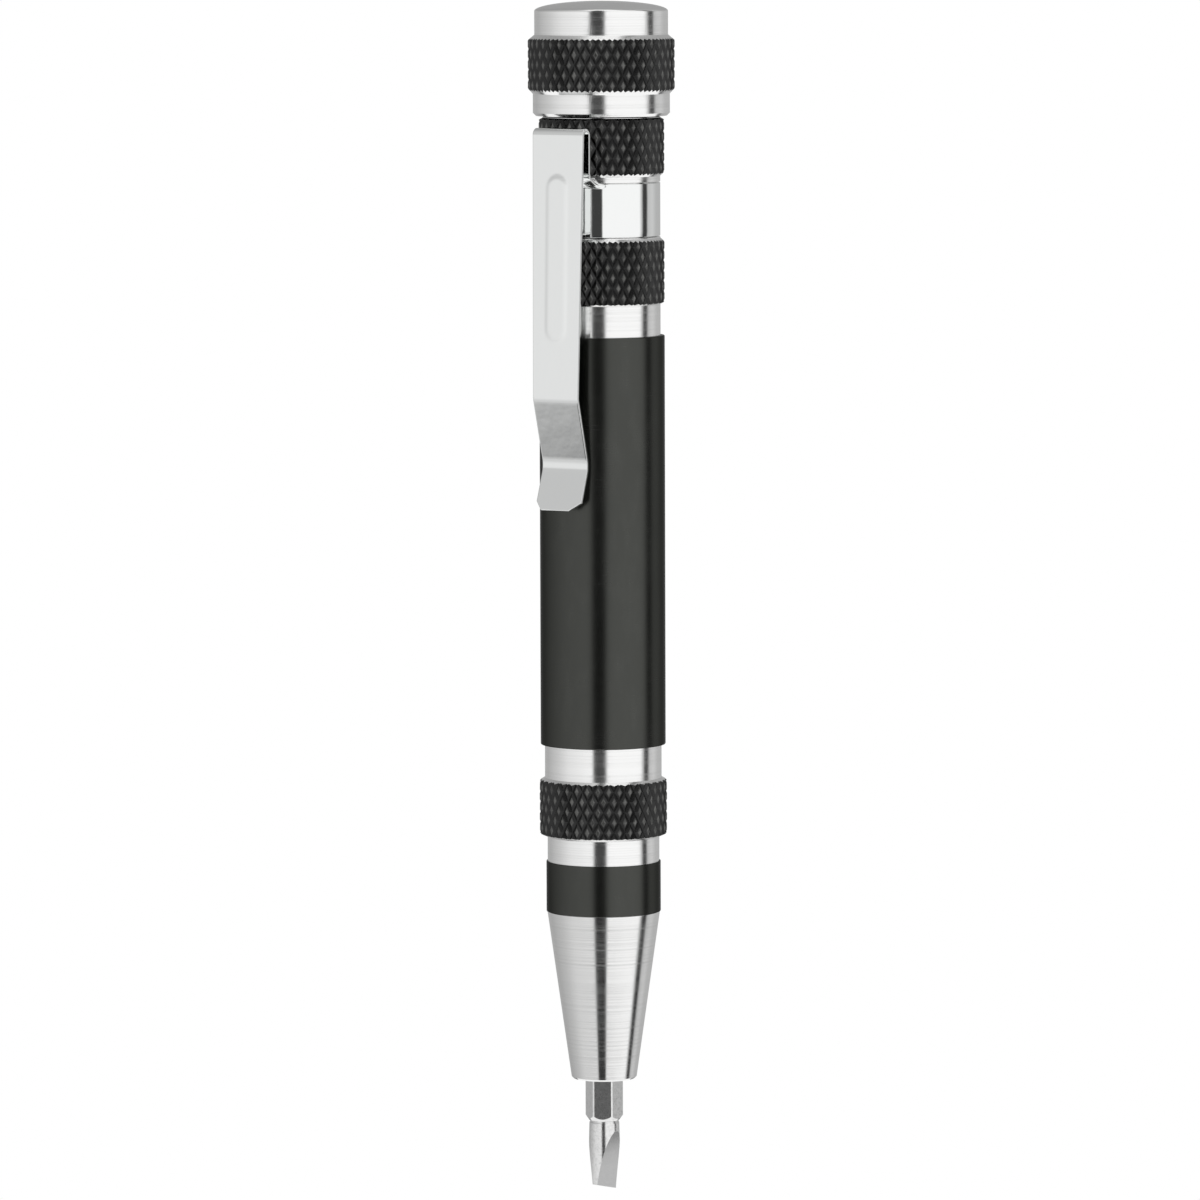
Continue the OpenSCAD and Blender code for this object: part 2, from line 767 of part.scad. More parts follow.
end_cap();
cap_pad();
barrel();
nose();
bit_socket();
socket_magnet();
driver_bit();
upper_bit_tray();
lower_bit_tray();
slotted_bit_small();
slotted_bit_medium();
slotted_bit_large();
phillips_bit_000();
phillips_bit_00();
phillips_bit_0();
phillips_bit_1();
clip_ring();
clip_tongue();
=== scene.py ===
"""Looks of a pocket screwdriver with a pen clip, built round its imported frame.

Every size is in metres, in the frame's own axes: the tool axis is Z, the cap is up, and the fitted
blade ends at the origin.
"""

import logging
import math
from collections.abc import Callable, Sequence
from dataclasses import dataclass
from enum import Enum
from itertools import accumulate
from typing import NamedTuple

import bpy
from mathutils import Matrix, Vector


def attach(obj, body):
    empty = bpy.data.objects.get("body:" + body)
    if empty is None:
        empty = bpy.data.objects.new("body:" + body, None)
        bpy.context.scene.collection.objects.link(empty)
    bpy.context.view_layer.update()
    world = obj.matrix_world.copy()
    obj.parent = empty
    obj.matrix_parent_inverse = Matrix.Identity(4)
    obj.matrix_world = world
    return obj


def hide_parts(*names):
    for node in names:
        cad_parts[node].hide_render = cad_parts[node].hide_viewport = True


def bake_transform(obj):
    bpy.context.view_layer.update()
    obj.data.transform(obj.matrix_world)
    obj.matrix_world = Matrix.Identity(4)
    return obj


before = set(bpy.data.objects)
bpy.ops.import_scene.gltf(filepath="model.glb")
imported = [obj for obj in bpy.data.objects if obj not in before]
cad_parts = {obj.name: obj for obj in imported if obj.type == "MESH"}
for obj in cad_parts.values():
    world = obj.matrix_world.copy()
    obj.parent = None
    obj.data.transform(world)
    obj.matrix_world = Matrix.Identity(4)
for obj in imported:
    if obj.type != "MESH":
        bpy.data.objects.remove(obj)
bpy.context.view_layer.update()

LOG = logging.getLogger("pocket_screwdriver")
MM = 0.001
TURN = 2 * math.pi
UP = Vector((0, 0, 1))
ORIGIN = (0, 0, 0)
WHITE = (1.0, 1.0, 1.0)
MERGE = 0.0005 * MM

Object = bpy.types.Object
Colour = tuple[float, float, float]
Outline = list[tuple[float, float]]


# Stations and sizes that several pieces share


class Zones(NamedTuple):
    """A length for each zone of the tool, from the blade's end up, or the height of each zone's upper end."""

    reach: float = 13.7 * MM
    cone: float = 20.3 * MM
    black_band: float = 6.05 * MM
    low_bright: float = 2.95 * MM
    nose_knurl: float = 7.2 * MM
    mid_bright: float = 3.95 * MM
    grip: float = 49.1 * MM
    top_bright: float = 3.7 * MM
    mid_knurl: float = 8.1 * MM
    ring: float = 6.35 * MM
    ring_play: float = 0.2 * MM
    collar: float = 0.55 * MM
    neck_knurl: float = 7.2 * MM
    neck: float = 5.65 * MM


@dataclass(frozen=True)
class Body:
    """Radii across the tool and small sizes that several pieces share."""

    gap: float = 0.1 * MM
    grip_r: float = 7.5 * MM
    knurl_r: float = 7.499 * MM
    bright_r: float = 6.999 * MM
    groove_r: float = 6.549 * MM
    bore_r: float = 5.889 * MM
    thread_r: float = 6.969 * MM
    thread_h: float = 0.25 * MM
    thread_pitch: float = 0.75 * MM
    thread_gap: float = 0.08 * MM
    bury: float = 0.06 * MM


LONG = Zones()
TOP = Zones(*accumulate(LONG))
BODY = Body()


# Mesh work: each helper stands for a step that a modeller does by hand


class Element(Enum):
    """Kinds of mesh element that can be picked in edit mode."""

    VERTEX = "VERT"
    EDGE = "EDGE"
    FACE = "FACE"


@dataclass(frozen=True)
class Corner:
    """One corner of a turned outline.

    Args:
        r: Distance from the tool axis.
        z: Height above the blade's end.
        fillet: Radius of the corner's rounding, or 0 for a sharp one.
    """

    r: float
    z: float
    fillet: float = 0.0


def object_mode() -> None:
    """Leaves edit mode if it is on."""
    if bpy.context.object and bpy.context.object.mode != "OBJECT":
        bpy.ops.object.mode_set(mode="OBJECT")


def activate(obj: Object) -> None:
    """Makes one object the only selected and the active one.

    Args:
        obj: The object to work on.
    """
    object_mode()
    bpy.ops.object.select_all(action="DESELECT")
    obj.select_set(True)
    bpy.context.view_layer.objects.active = obj


def edit(obj: Object) -> None:
    """Enters edit mode on one object with all of its mesh selected.

    Args:
        obj: The object to work on.
    """
    activate(obj)
    bpy.ops.object.mode_set(mode="EDIT")
    bpy.ops.mesh.select_mode(type="VERT")
    bpy.ops.mesh.select_all(action="SELECT")


def pick(obj: Object, kind: Element, test: Callable[[Vector, Vector], bool]) -> None:
    """Selects the mesh elements that pass a test and stays in edit mode.

    Args:
        obj: The object to work on.
        kind: Which elements are looked at.
        test: Gets an element's middle and its normal, or its direction for an edge.
    """
    edit(obj)
    bpy.ops.mesh.select_mode(type=kind.value)
    bpy.ops.mesh.select_all(action="DESELECT")
    bpy.ops.object.mode_set(mode="OBJECT")
    mesh = obj.data
    points = [v.co for v in mesh.vertices]
    if kind is Element.VERTEX:
        rows = [(v, v.co, v.normal) for v in mesh.vertices]
    elif kind is Element.EDGE:
        ends = [(e, points[e.vertices[0]], points[e.vertices[1]]) for e in mesh.edges]
        rows = [(e, (a + b) / 2, b - a) for e, a, b in ends]
    else:
        rows = [(p, p.center, p.normal) for p in mesh.polygons]
    for element, middle, direction in rows:
        element.select = test(middle, direction)
    bpy.ops.object.mode_set(mode="EDIT")


def radius_of(point: Vector) -> float:
    """Distance of a point from the tool axis."""
    return math.hypot(point.x, point.y)


def name_piece(obj: Object, name: str) -> Object:
    """Gives an object and its mesh their name.

    Args:
        obj: The object.
        name: The piece's name.

    Returns:
        The same object.
    """
    obj.name = name
    obj.data.name = name
    return obj


def close_up(obj: Object) -> None:
    """Merges doubled points and points every face outwards.

    Args:
        obj: The object to work on.
    """
    edit(obj)
    bpy.ops.mesh.remove_doubles(threshold=MERGE)
    bpy.ops.mesh.normals_make_consistent(inside=False)
    object_mode()


def rounded(corners: Sequence[Corner], steps: int = 4) -> Outline:
    """Replaces each corner that has a fillet by points on its arc.

    Args:
        corners: The outline's corners in order.
        steps: How many chords each arc has.

    Returns:
        The outline's points, as (radius, height).
    """
    points: Outline = []
    for before, corner, after in zip([corners[-1], *corners], corners, [*corners[1:], corners[0]]):
        here = Vector((corner.r, corner.z))
        if not corner.fillet:
            points.append(tuple(here))
            continue
        back = (Vector((before.r, before.z)) - here).normalized()
        on = (Vector((after.r, after.z)) - here).normalized()
        half = back.angle(on) / 2
        start = here + back * (corner.fillet / math.tan(half))
        end = here + on * (corner.fillet / math.tan(half))
        centre = here + (back + on).normalized() * (corner.fillet / math.sin(half))
        for i in range(steps + 1):
            share = i / steps
            arm = ((start - centre) * (1 - share) + (end - centre) * share).normalized()
            points.append(tuple(centre + arm * corner.fillet))
    return points


def draw_line(points: Sequence[Vector], name: str) -> Object:
    """Draws a chain of edges by extruding one vertex from point to point.

    Args:
        points: The chain's points in order.
        name: The new object's name.

    Returns:
        The object, with its origin at the frame's.
    """
    object_mode()
    bpy.ops.object.select_all(action="DESELECT")
    bpy.ops.mesh.primitive_plane_add(size=MM, location=ORIGIN)
    obj = name_piece(bpy.context.object, name)
    edit(obj)
    bpy.ops.mesh.merge(type="CENTER")
    bpy.ops.transform.translate(value=points[0])
    for here, there in zip(points, points[1:]):
        bpy.ops.mesh.extrude_vertices_move(TRANSFORM_OT_translate={"value": there - here})
    object_mode()
    return obj


def turn(outline: Outline, name: str, steps: int = 144, closed: bool = True) -> Object:
    """Turns an outline about the tool axis into a closed solid.

    Args:
        outline: The half section's points, as (radius, height).
        name: The new object's name.
        steps: How many flats go round.
        closed: Whether the outline's last point joins its first. An open outline ends on the axis.

    Returns:
        The turned object.
    """
    points = [Vector((r, 0, z)) for r, z in outline]
    if closed:
        points.append(points[0])
    obj = draw_line(points, name)
    edit(obj)
    bpy.ops.mesh.spin(steps=steps, angle=TURN, center=ORIGIN, axis=UP)
    close_up(obj)
    return obj


def modify(obj: Object, kind: str, **settings: object) -> None:
    """Adds one modifier to an object and applies it.

    Args:
        obj: The object to work on.
        kind: The modifier's type.
        settings: Its properties by name.
    """
    activate(obj)
    made = obj.modifiers.new(kind.lower(), kind)
    for name, value in settings.items():
        setattr(made, name, value)
    bpy.ops.object.modifier_apply(modifier=made.name)


def cut(obj: Object, tool: Object, operation: str) -> None:
    """Applies one boolean between an object and a tool, and removes the tool."""
    modify(obj, "BOOLEAN", operation=operation, solver="EXACT", object=tool, material_mode="TRANSFER")
    bpy.data.objects.remove(tool, do_unlink=True)


def smooth(obj: Object, angle: float = 26.0) -> None:
    """Shades a piece smooth, keeps edges above an angle sharp and large faces flat.

    Args:
        obj: The piece.
        angle: The largest angle that is shaded over, in degrees.
    """
    activate(obj)
    bpy.ops.object.shade_smooth_by_angle(angle=math.radians(angle))
    modify(obj, "WEIGHTED_NORMAL", keep_sharp=True)


def place(obj: Object) -> None:
    """Moves an object's place, turn and scale into its mesh."""
    activate(obj)
    bpy.ops.object.transform_apply(location=True, rotation=True, scale=True)


def cylinder(name: str, flats: int, radius: float, depth: float, **more: object) -> Object:
    """Adds a cylinder.

    Args:
        name: The new object's name.
        flats: How many flats go round.
        radius: Its radius over its corners.
        depth: Its length.
        more: Other settings of the operator by name, such as its place.

    Returns:
        The cylinder, with its origin at the frame's.
    """
    object_mode()
    bpy.ops.object.select_all(action="DESELECT")
    bpy.ops.mesh.primitive_cylinder_add(vertices=flats, radius=radius, depth=depth, **more)
    obj = name_piece(bpy.context.object, name)
    place(obj)
    return obj


# Shader maths


@dataclass(frozen=True)
class Wire:
    """One output of a shader graph. Python's operators on it add Math nodes."""

    graph: "Graph"
    socket: bpy.types.NodeSocket

    def maths(self, operation: str, *values: "Wire | float") -> "Wire":
        """Adds one Math node."""
        made = self.graph.node("ShaderNodeMath", {"operation": operation}, dict(enumerate(values)))
        return Wire(self.graph, made.outputs[0])

    def __add__(self, other: "Wire | float") -> "Wire":
        """Sum of two values."""
        return self.maths("ADD", self, other)

    def __radd__(self, other: float) -> "Wire":
        """Sum of a number and a value."""
        return self.maths("ADD", other, self)

    def __sub__(self, other: "Wire | float") -> "Wire":
        """Difference of two values."""
        return self.maths("SUBTRACT", self, other)

    def __rsub__(self, other: float) -> "Wire":
        """A number less a value."""
        return self.maths("SUBTRACT", other, self)

    def __mul__(self, other: "Wire | float") -> "Wire":
        """Product of two values."""
        return self.maths("MULTIPLY", self, other)

    def __pow__(self, other: float) -> "Wire":
        """A value raised to a power."""
        return self.maths("POWER", self, other)

    def ramp(self, low: float, high: float, to_low: float = 0.0, to_high: float = 1.0) -> "Wire":
        """Maps a value smoothly from one range onto another.

        Args:
            low: Value that becomes to_low.
            high: Value that becomes to_high.
            to_low: Result at and below low.
            to_high: Result at and above high.

        Returns:
            The mapped value.
        """
        sockets = {0: self, 1: low, 2: high, 3: to_low, 4: to_high}
        made = self.graph.node("ShaderNodeMapRange", {"interpolation_type": "SMOOTHSTEP"}, sockets)
        return Wire(self.graph, made.outputs[0])


@dataclass(frozen=True)
class Graph:
    """A node tree with short ways to add nodes to it."""

    tree: bpy.types.NodeTree

    def node(
        self,
        kind: str,
        settings: dict[str, object] | None = None,
        sockets: dict[str | int, object] | None = None,
    ) -> bpy.types.Node:
        """Adds any node: its settings are set first, then its sockets.

        Args:
            kind: The node's type.
            settings: Its properties by name. A ramp's stops are under "stops", as (place, grey).
            sockets: Values or links of its inputs, by name or number.

        Returns:
            The new node.
        """
        made = self.tree.nodes.new(kind)
        for name, value in (settings or {}).items():
            if name == "stops":
                self._set_stops(made.color_ramp, value)
            else:
                setattr(made, name, value)
        for name, value in (sockets or {}).items():
            if isinstance(value, Wire):
                self.tree.links.new(value.socket, made.inputs[name])
            else:
                made.inputs[name].default_value = value
        return made

    @staticmethod
    def _set_stops(ramp: bpy.types.ColorRamp, stops: Sequence[tuple[float, float]]) -> None:
        """Gives a ramp its grey stops.

        Args:
            ramp: The node's ramp.
            stops: Pairs of place and grey.
        """
        while len(ramp.elements) < len(stops):
            ramp.elements.new(1.0)
        for element, (spot, grey) in zip(ramp.elements, stops):
            element.position = spot
            element.color = (grey, grey, grey, 1.0)

    def wire(self, node: bpy.types.Node, output: str | int = 0) -> Wire:
        """One output of a node, ready for maths."""
        return Wire(self, node.outputs[output])

    @property
    def spot(self) -> Wire:
        """The shaded point in metres of the object's own frame."""
        return self.wire(self.node("ShaderNodeTexCoord"), "Object")

    @property
    def point(self) -> Wire:
        """The shaded point in millimetres of the object's own frame."""
        return self.scaled(self.spot, 1 / MM)

    def parts(self, vector: Wire) -> list[Wire]:
        """Splits a vector into its three values."""
        made = self.node("ShaderNodeSeparateXYZ", None, {0: vector})
        return [self.wire(made, i) for i in range(3)]

    def radius(self, vector: Wire) -> Wire:
        """Distance of a point from the Z axis."""
        x, y, _ = self.parts(vector)
        return (x * x + y * y) ** 0.5

    def profile(self) -> Wire:
        """The shaded point's distance from the tool axis and its height, on which turned rings lie."""
        sockets = {0: self.radius(self.point), 2: self.parts(self.point)[2]}
        return self.wire(self.node("ShaderNodeCombineXYZ", None, sockets))

    def scaled(self, vector: Wire, factor: float | Sequence[float]) -> Wire:
        """Multiplies a vector by a number, or by one number for each axis."""
        by = (factor,) * 3 if isinstance(factor, (int, float)) else tuple(factor)
        return self.wire(self.node("ShaderNodeVectorMath", {"operation": "MULTIPLY"}, {0: vector, 1: by}))

    def noise(self, vector: Wire, scale: float, detail: float = 2.0, rough: float = 0.5) -> Wire:
        """Cloudy noise from 0 to 1."""
        sockets = {"Vector": vector, "Scale": scale, "Detail": detail, "Roughness": rough}
        return self.wire(self.node("ShaderNodeTexNoise", None, sockets), "Fac")

    def cells(self, vector: Wire, scale: float) -> Wire:
        """Distance to the nearest of many scattered points."""
        made = self.node("ShaderNodeTexVoronoi", None, {"Vector": vector, "Scale": scale})
        return self.wire(made, "Distance")

    def mix(self, share: "Wire | float", low: "Wire | Colour", high: "Wire | Colour") -> Wire:
        """Mixes two colours.

        Args:
            share: How much of the second colour shows.
            low: The colour at share 0.
            high: The colour at share 1.

        Returns:
            The mixed colour.
        """
        low, high = (end if isinstance(end, Wire) else (*end, 1.0) for end in (low, high))
        # A Mix node has its two colours at sockets 6 and 7, and the mixed one at output 2
        sockets = {0: share, 6: low, 7: high}
        return self.wire(self.node("ShaderNodeMix", {"data_type": "RGBA"}, sockets), 2)

    def shown(self) -> Wire:
        """Tells the rays that can see the backdrop from those that only bring light.

        Returns:
            1 for rays from the camera, off a mirror or through a clear body, and 0 for the rest.
        """
        path = self.node("ShaderNodeLightPath")
        rays = [self.wire(path, name) for name in ("Is Camera Ray", "Is Glossy Ray", "Is Transmission Ray")]
        return (rays[0] + rays[1] + rays[2]).ramp(0.0, 1.0)

    def bump(self, height: Wire, depth: float, under: Wire | None = None) -> Wire:
        """Turns a height into a bent normal.

        Args:
            height: The height from 0 to 1.
            depth: What a height of 1 stands for, in metres.
            under: A normal that is bent already.

        Returns:
            The normal.
        """
        sockets: dict[str | int, object] = {"Height": height, "Distance": depth, "Strength": 1.0}
        if under:
            sockets["Normal"] = under
        return self.wire(self.node("ShaderNodeBump", None, sockets))


def graph_of(owner: bpy.types.Material | bpy.types.World) -> Graph:
    """Empties the node tree of a material or a world.

    Args:
        owner: The material or the world.

    Returns:
        Its graph, ready for nodes.
    """
    owner.use_nodes = True
    owner.node_tree.nodes.clear()
    return Graph(owner.node_tree)


class Pattern(Enum):
    """Kinds of pattern that a layer can hold."""

    CLOUD = "noise through the whole piece"
    RINGS = "noise that changes only with radius and height"
    CELLS = "distance to the nearest of many scattered points"


@dataclass(frozen=True)
class Layer:
    """One pattern of a finish and what it does there.

    Args:
        scale: Patches to a millimetre.
        detail: Octaves of its noise.
        fine: Weight of the finer octaves.
        stretch: Scales along X, Y and Z before it is read.
        fade: Values between which it fades in, and the results there. Without them it is taken as it is.
        stain: How much of the finish's second colour it shows.
        dulls: What it adds to the roughness.
        even: Value of the pattern at which the roughness stays as it is.
        depth: How deep it is pressed, in metres.
        pattern: Its kind.
    """

    scale: float
    detail: float = 2.0
    fine: float = 0.5
    stretch: tuple[float, float, float] | None = None
    fade: tuple[float, ...] | None = None
    stain: float = 0.0
    dulls: float = 0.0
    even: float = 0.5
    depth: float = 0.0
    pattern: Pattern = Pattern.CLOUD

    def read(self, graph: Graph) -> Wire:
        """Adds the pattern's nodes.

        Args:
            graph: The material's graph.

        Returns:
            The pattern's value.
        """
        at = graph.profile() if self.pattern is Pattern.RINGS else graph.point
        if self.stretch:
            at = graph.scaled(at, self.stretch)
        if self.pattern is Pattern.CELLS:
            made = graph.cells(at, self.scale)
        else:
            made = graph.noise(at, self.scale, self.detail, self.fine)
        return made.ramp(*self.fade) if self.fade else made


@dataclass(frozen=True)
class Finish:
    """Base of every finish: a named material made of layered patterns.

    Args:
        name: The material's name.
        colour: Its plain colour.
        second: The colour that its stains show.
        roughness: Its roughness where no layer changes it.
        metallic: How far it is a bare metal.
        layers: Its patterns. Their bumps are pressed in this order.
        constants: Fixed values of other sockets, by name.
    """

    name: str = "finish"
    colour: Colour = (0.5, 0.5, 0.5)
    second: Colour = (0.5, 0.5, 0.5)
    roughness: float = 0.5
    metallic: float = 1.0
    layers: tuple[Layer, ...] = ()
    constants: tuple[tuple[str, object], ...] = ()

    def surface(self, graph: Graph) -> dict[str | int, object]:
        """Builds the finish's nodes.

        Args:
            graph: The material's graph.

        Returns:
            Values and links of the shader's sockets, by name.
        """
        share, rough = 0.0, self.roughness
        sockets: dict[str | int, object] = {"Metallic": self.metallic, **dict(self.constants)}
        for layer in self.layers:
            value = layer.read(graph)
            if layer.stain:
                share = value * layer.stain + share
            if layer.dulls:
                rough = rough + (value - layer.even) * layer.dulls
            if layer.depth:
                sockets["Normal"] = graph.bump(value, layer.depth, sockets.get("Normal"))
        return {**sockets, "Base Color": graph.mix(share, self.colour, self.second), "Roughness": rough}

    def material(self) -> bpy.types.Material:
        """The finish's material, made at the first call.

        Returns:
            The material.
        """
        found = bpy.data.materials.get(self.name)
        if found:
            return found
        made = bpy.data.materials.new(self.name)
        graph = graph_of(made)
        shader = graph.node("ShaderNodeBsdfPrincipled", None, self.surface(graph))
        graph.node("ShaderNodeOutputMaterial", None, {"Surface": graph.wire(shader)})
        return made


@dataclass(frozen=True)
class TurnedBright(Finish):
    """Aluminium cut bright on a lathe: fine rings of tool marks, faint smears and pits."""

    name: str = "turned_bright"
    colour: Colour = (0.94, 0.94, 0.935)
    second: Colour = (0.70, 0.70, 0.69)
    roughness: float = 0.17
    layers: tuple[Layer, ...] = (
        Layer(4.5, 3.0, 0.65, depth=0.0016 * MM, pattern=Pattern.RINGS),
        Layer(4.5, 3.0, 0.65, fade=(0.38, 0.72), stain=0.24, dulls=0.08, even=0.4, pattern=Pattern.RINGS),
        Layer(1.4, dulls=0.10, depth=0.0032 * MM, pattern=Pattern.RINGS),
        Layer(1.0, 4.0, 0.6, stretch=(0.5, 0.5, 0.16), dulls=0.12),
        Layer(7.0, 3.0, 0.7, fade=(0.68, 0.78), stain=0.30),
    )


@dataclass(frozen=True)
class BlackAnodised(Finish):
    """Black anodised aluminium: a dark metal skin, paler where hands have rubbed it, faint turning rings."""

    name: str = "black_anodised"
    colour: Colour = (0.0695, 0.0715, 0.066)
    second: Colour = (0.089, 0.0915, 0.085)
    roughness: float = 0.25
    layers: tuple[Layer, ...] = (
        Layer(22.0, 2.0, 0.6, stain=0.12, dulls=0.05, depth=0.0010 * MM),
        Layer(0.45, 4.0, 0.62, stretch=(1.0, 1.0, 0.35), fade=(0.42, 0.78), stain=0.45),
        Layer(0.45, 4.0, 0.62, stretch=(1.0, 1.0, 0.35), dulls=0.10),
        Layer(3.0, 3.0, 0.6, dulls=0.07, depth=0.0005 * MM, pattern=Pattern.RINGS),
    )
    constants: tuple[tuple[str, object], ...] = (("Specular Tint", (0.43, 0.43, 0.43, 1.0)),)


@dataclass(frozen=True)
class KnurlBlack(Finish):
    """The anodised skin on a knurl, rubbed to bare metal here and there on its crests.

    Args:
        crest: Radius over the knurl's flats, in millimetres.
        worn_from: Where wear begins against the crest, in millimetres.
        worn_to: Where it is full.
        polish: How much smoother bare metal is.
        grain: Fine grain of the skin.
        dents: Shallow dents of use.
        rubbed: Where hands have rubbed.
    """

    name: str = "knurl_black"
    colour: Colour = (0.0025, 0.0025, 0.0025)
    second: Colour = (0.15, 0.15, 0.145)
    roughness: float = 0.34
    constants: tuple[tuple[str, object], ...] = (("IOR", 1.70), ("Specular IOR Level", 0.315))
    crest: float = 7.44
    worn_from: float = -0.05
    worn_to: float = 0.02
    polish: float = 0.06
    grain: Layer = Layer(16.0, 3.0, 0.6, dulls=0.14, depth=0.002 * MM)
    dents: Layer = Layer(1.3, depth=0.030 * MM)
    rubbed: Layer = Layer(0.9, 3.0, 0.6, fade=(0.30, 0.62, 0.15, 1.0))

    def surface(self, graph: Graph) -> dict[str | int, object]:
        """Wear follows the distance from the axis, broken up by noise.

        Args:
            graph: The material's graph.

        Returns:
            Values and links of the shader's sockets, by name.
        """
        grain, dents = self.grain.read(graph), self.dents.read(graph)
        high = graph.radius(graph.point).ramp(self.crest + self.worn_from, self.crest + self.worn_to)
        wear = high * self.rubbed.read(graph)
        rough = self.roughness + (grain - self.grain.even) * self.grain.dulls
        return {
            "Base Color": graph.mix(wear, self.colour, self.second),
            "Roughness": rough - wear * self.polish,
            "Metallic": wear,
            "Normal": graph.bump(dents, self.dents.depth, graph.bump(grain, self.grain.depth)),
            **dict(self.constants),
        }


@dataclass(frozen=True)
class SpringPlate(Finish):
    """Bright plate on rolled spring steel: near a mirror, with a faint long grain and hairline scratches."""

    name: str = "spring_plate"
    colour: Colour = (0.92, 0.93, 0.925)
    second: Colour = (0.74, 0.75, 0.745)
    roughness: float = 0.07
    layers: tuple[Layer, ...] = (
        Layer(0.5, dulls=0.03, depth=0.006 * MM),
        Layer(2.0, 3.0, 0.6, stretch=(6.0, 6.0, 0.25), stain=0.14, dulls=0.05, depth=0.0006 * MM),
        Layer(1.6, 4.0, 0.75, (9.0, 1.2, 2.6), (0.70, 0.76), stain=0.3, dulls=0.10, even=0.0),
    )


@dataclass(frozen=True)
class BitSteel(Finish):
    """Satin nickel on a forged bit: a mottled skin with darker stains and a fine tumbled grain."""

    name: str = "satin_bit_steel"
    colour: Colour = (0.86, 0.86, 0.855)
    second: Colour = (0.58, 0.58, 0.58)
    roughness: float = 0.21
    layers: tuple[Layer, ...] = (
        Layer(2.6, 5.0, 0.68, fade=(0.40, 0.74), stain=0.50),
        Layer(2.6, 5.0, 0.68, dulls=0.16),
        Layer(18.0, 2.0, 0.6, stain=0.10, dulls=0.06, depth=0.0003 * MM),
        Layer(2.6, 1.0, depth=0.0030 * MM),
    )


@dataclass(frozen=True)
class GroundSteel(Finish):
    """A face ground by a wheel, with fine level scratches across the blade."""

    name: str = "ground_steel"
    colour: Colour = (0.96, 0.96, 0.96)
    second: Colour = (0.88, 0.88, 0.88)
    roughness: float = 0.20
    layers: tuple[Layer, ...] = (
        Layer(1.0, 3.0, 0.7, stretch=(0.5, 0.5, 16.0), stain=0.5, dulls=0.2, depth=0.0002 * MM),
    )


@dataclass(frozen=True)
class SocketSteel(Finish):
    """Turned free-cutting steel with rings, oiled and slightly dark."""

    name: str = "oiled_socket_steel"
    colour: Colour = (0.46, 0.47, 0.48)
    second: Colour = (0.22, 0.22, 0.23)
    roughness: float = 0.34
    layers: tuple[Layer, ...] = (
        Layer(8.0, 2.0, 0.6, stain=0.3, depth=0.003 * MM, pattern=Pattern.RINGS),
        Layer(0.8, 4.0, 0.6, fade=(0.4, 0.7), stain=0.3),
        Layer(0.8, 4.0, 0.6, dulls=0.2),
    )


@dataclass(frozen=True)
class MagnetNickel(Finish):
    """Nickel plate on a pressed magnet, with small pits at the middles of scattered cells."""

    name: str = "magnet_nickel"
    colour: Colour = (0.62, 0.61, 0.58)
    second: Colour = (0.25, 0.25, 0.24)
    roughness: float = 0.16
    layers: tuple[Layer, ...] = (
        Layer(3.2, fade=(0.05, 0.16), depth=0.01 * MM, pattern=Pattern.CELLS),
        Layer(3.2, fade=(0.16, 0.05), stain=0.7, pattern=Pattern.CELLS),
        Layer(1.5, 3.0, dulls=0.12),
    )


@dataclass(frozen=True)
class ClearTray(Finish):
    """Clear moulded plastic with flow lines along the mould and rub marks."""

    name: str = "clear_tray"
    colour: Colour = (0.90, 0.93, 0.94)
    second: Colour = (0.74, 0.80, 0.82)
    roughness: float = 0.10
    metallic: float = 0.0
    layers: tuple[Layer, ...] = (
        Layer(0.9, 3.0, 0.6, stretch=(1.0, 1.0, 0.12), stain=0.5, dulls=0.06, depth=0.02 * MM),
        Layer(1.0, 3.0, 0.7, (8.0, 8.0, 1.0), (0.55, 0.75), stain=0.3, dulls=0.22, even=0.0),
    )
    constants: tuple[tuple[str, object], ...] = (("Transmission Weight", 0.92), ("IOR", 1.49))


@dataclass(frozen=True)
class PadFoam(Finish):
    """Closed-cell foam rubber: dark, matt and dimpled, with dust between its cells."""

    name: str = "pad_foam"
    colour: Colour = (0.045, 0.045, 0.047)
    second: Colour = (0.11, 0.11, 0.11)
    roughness: float = 0.85
    metallic: float = 0.0
    layers: tuple[Layer, ...] = (
        Layer(2.4, depth=0.12 * MM, pattern=Pattern.CELLS),
        Layer(1.2, 4.0, 0.7, fade=(0.5, 0.8), stain=0.6, dulls=0.1),
    )
    constants: tuple[tuple[str, object], ...] = (("Specular IOR Level", 0.3),)


# Pieces


def wear(obj: Object, *finishes: Finish) -> None:
    """Gives a piece its finishes, one slot each.

    Args:
        obj: The piece.
        finishes: The finishes in the order of the piece's slots.
    """
    obj.data.materials.clear()
    for finish in finishes:
        obj.data.materials.append(finish.material())


def finish_where(obj: Object, finish: Finish, test: Callable[[Vector, Vector], bool]) -> None:
    """Gives the faces that pass a test another of the piece's finishes.

    Args:
        obj: The piece.
        finish: One of its finishes.
        test: Gets a face's middle and normal.
    """
    slots = [m.name for m in obj.data.materials]
    if finish.name not in slots:
        obj.data.materials.append(finish.material())
        slots.append(finish.name)
    object_mode()
    for polygon in obj.data.polygons:
        if test(polygon.center, polygon.normal):
            polygon.material_index = slots.index(finish.name)


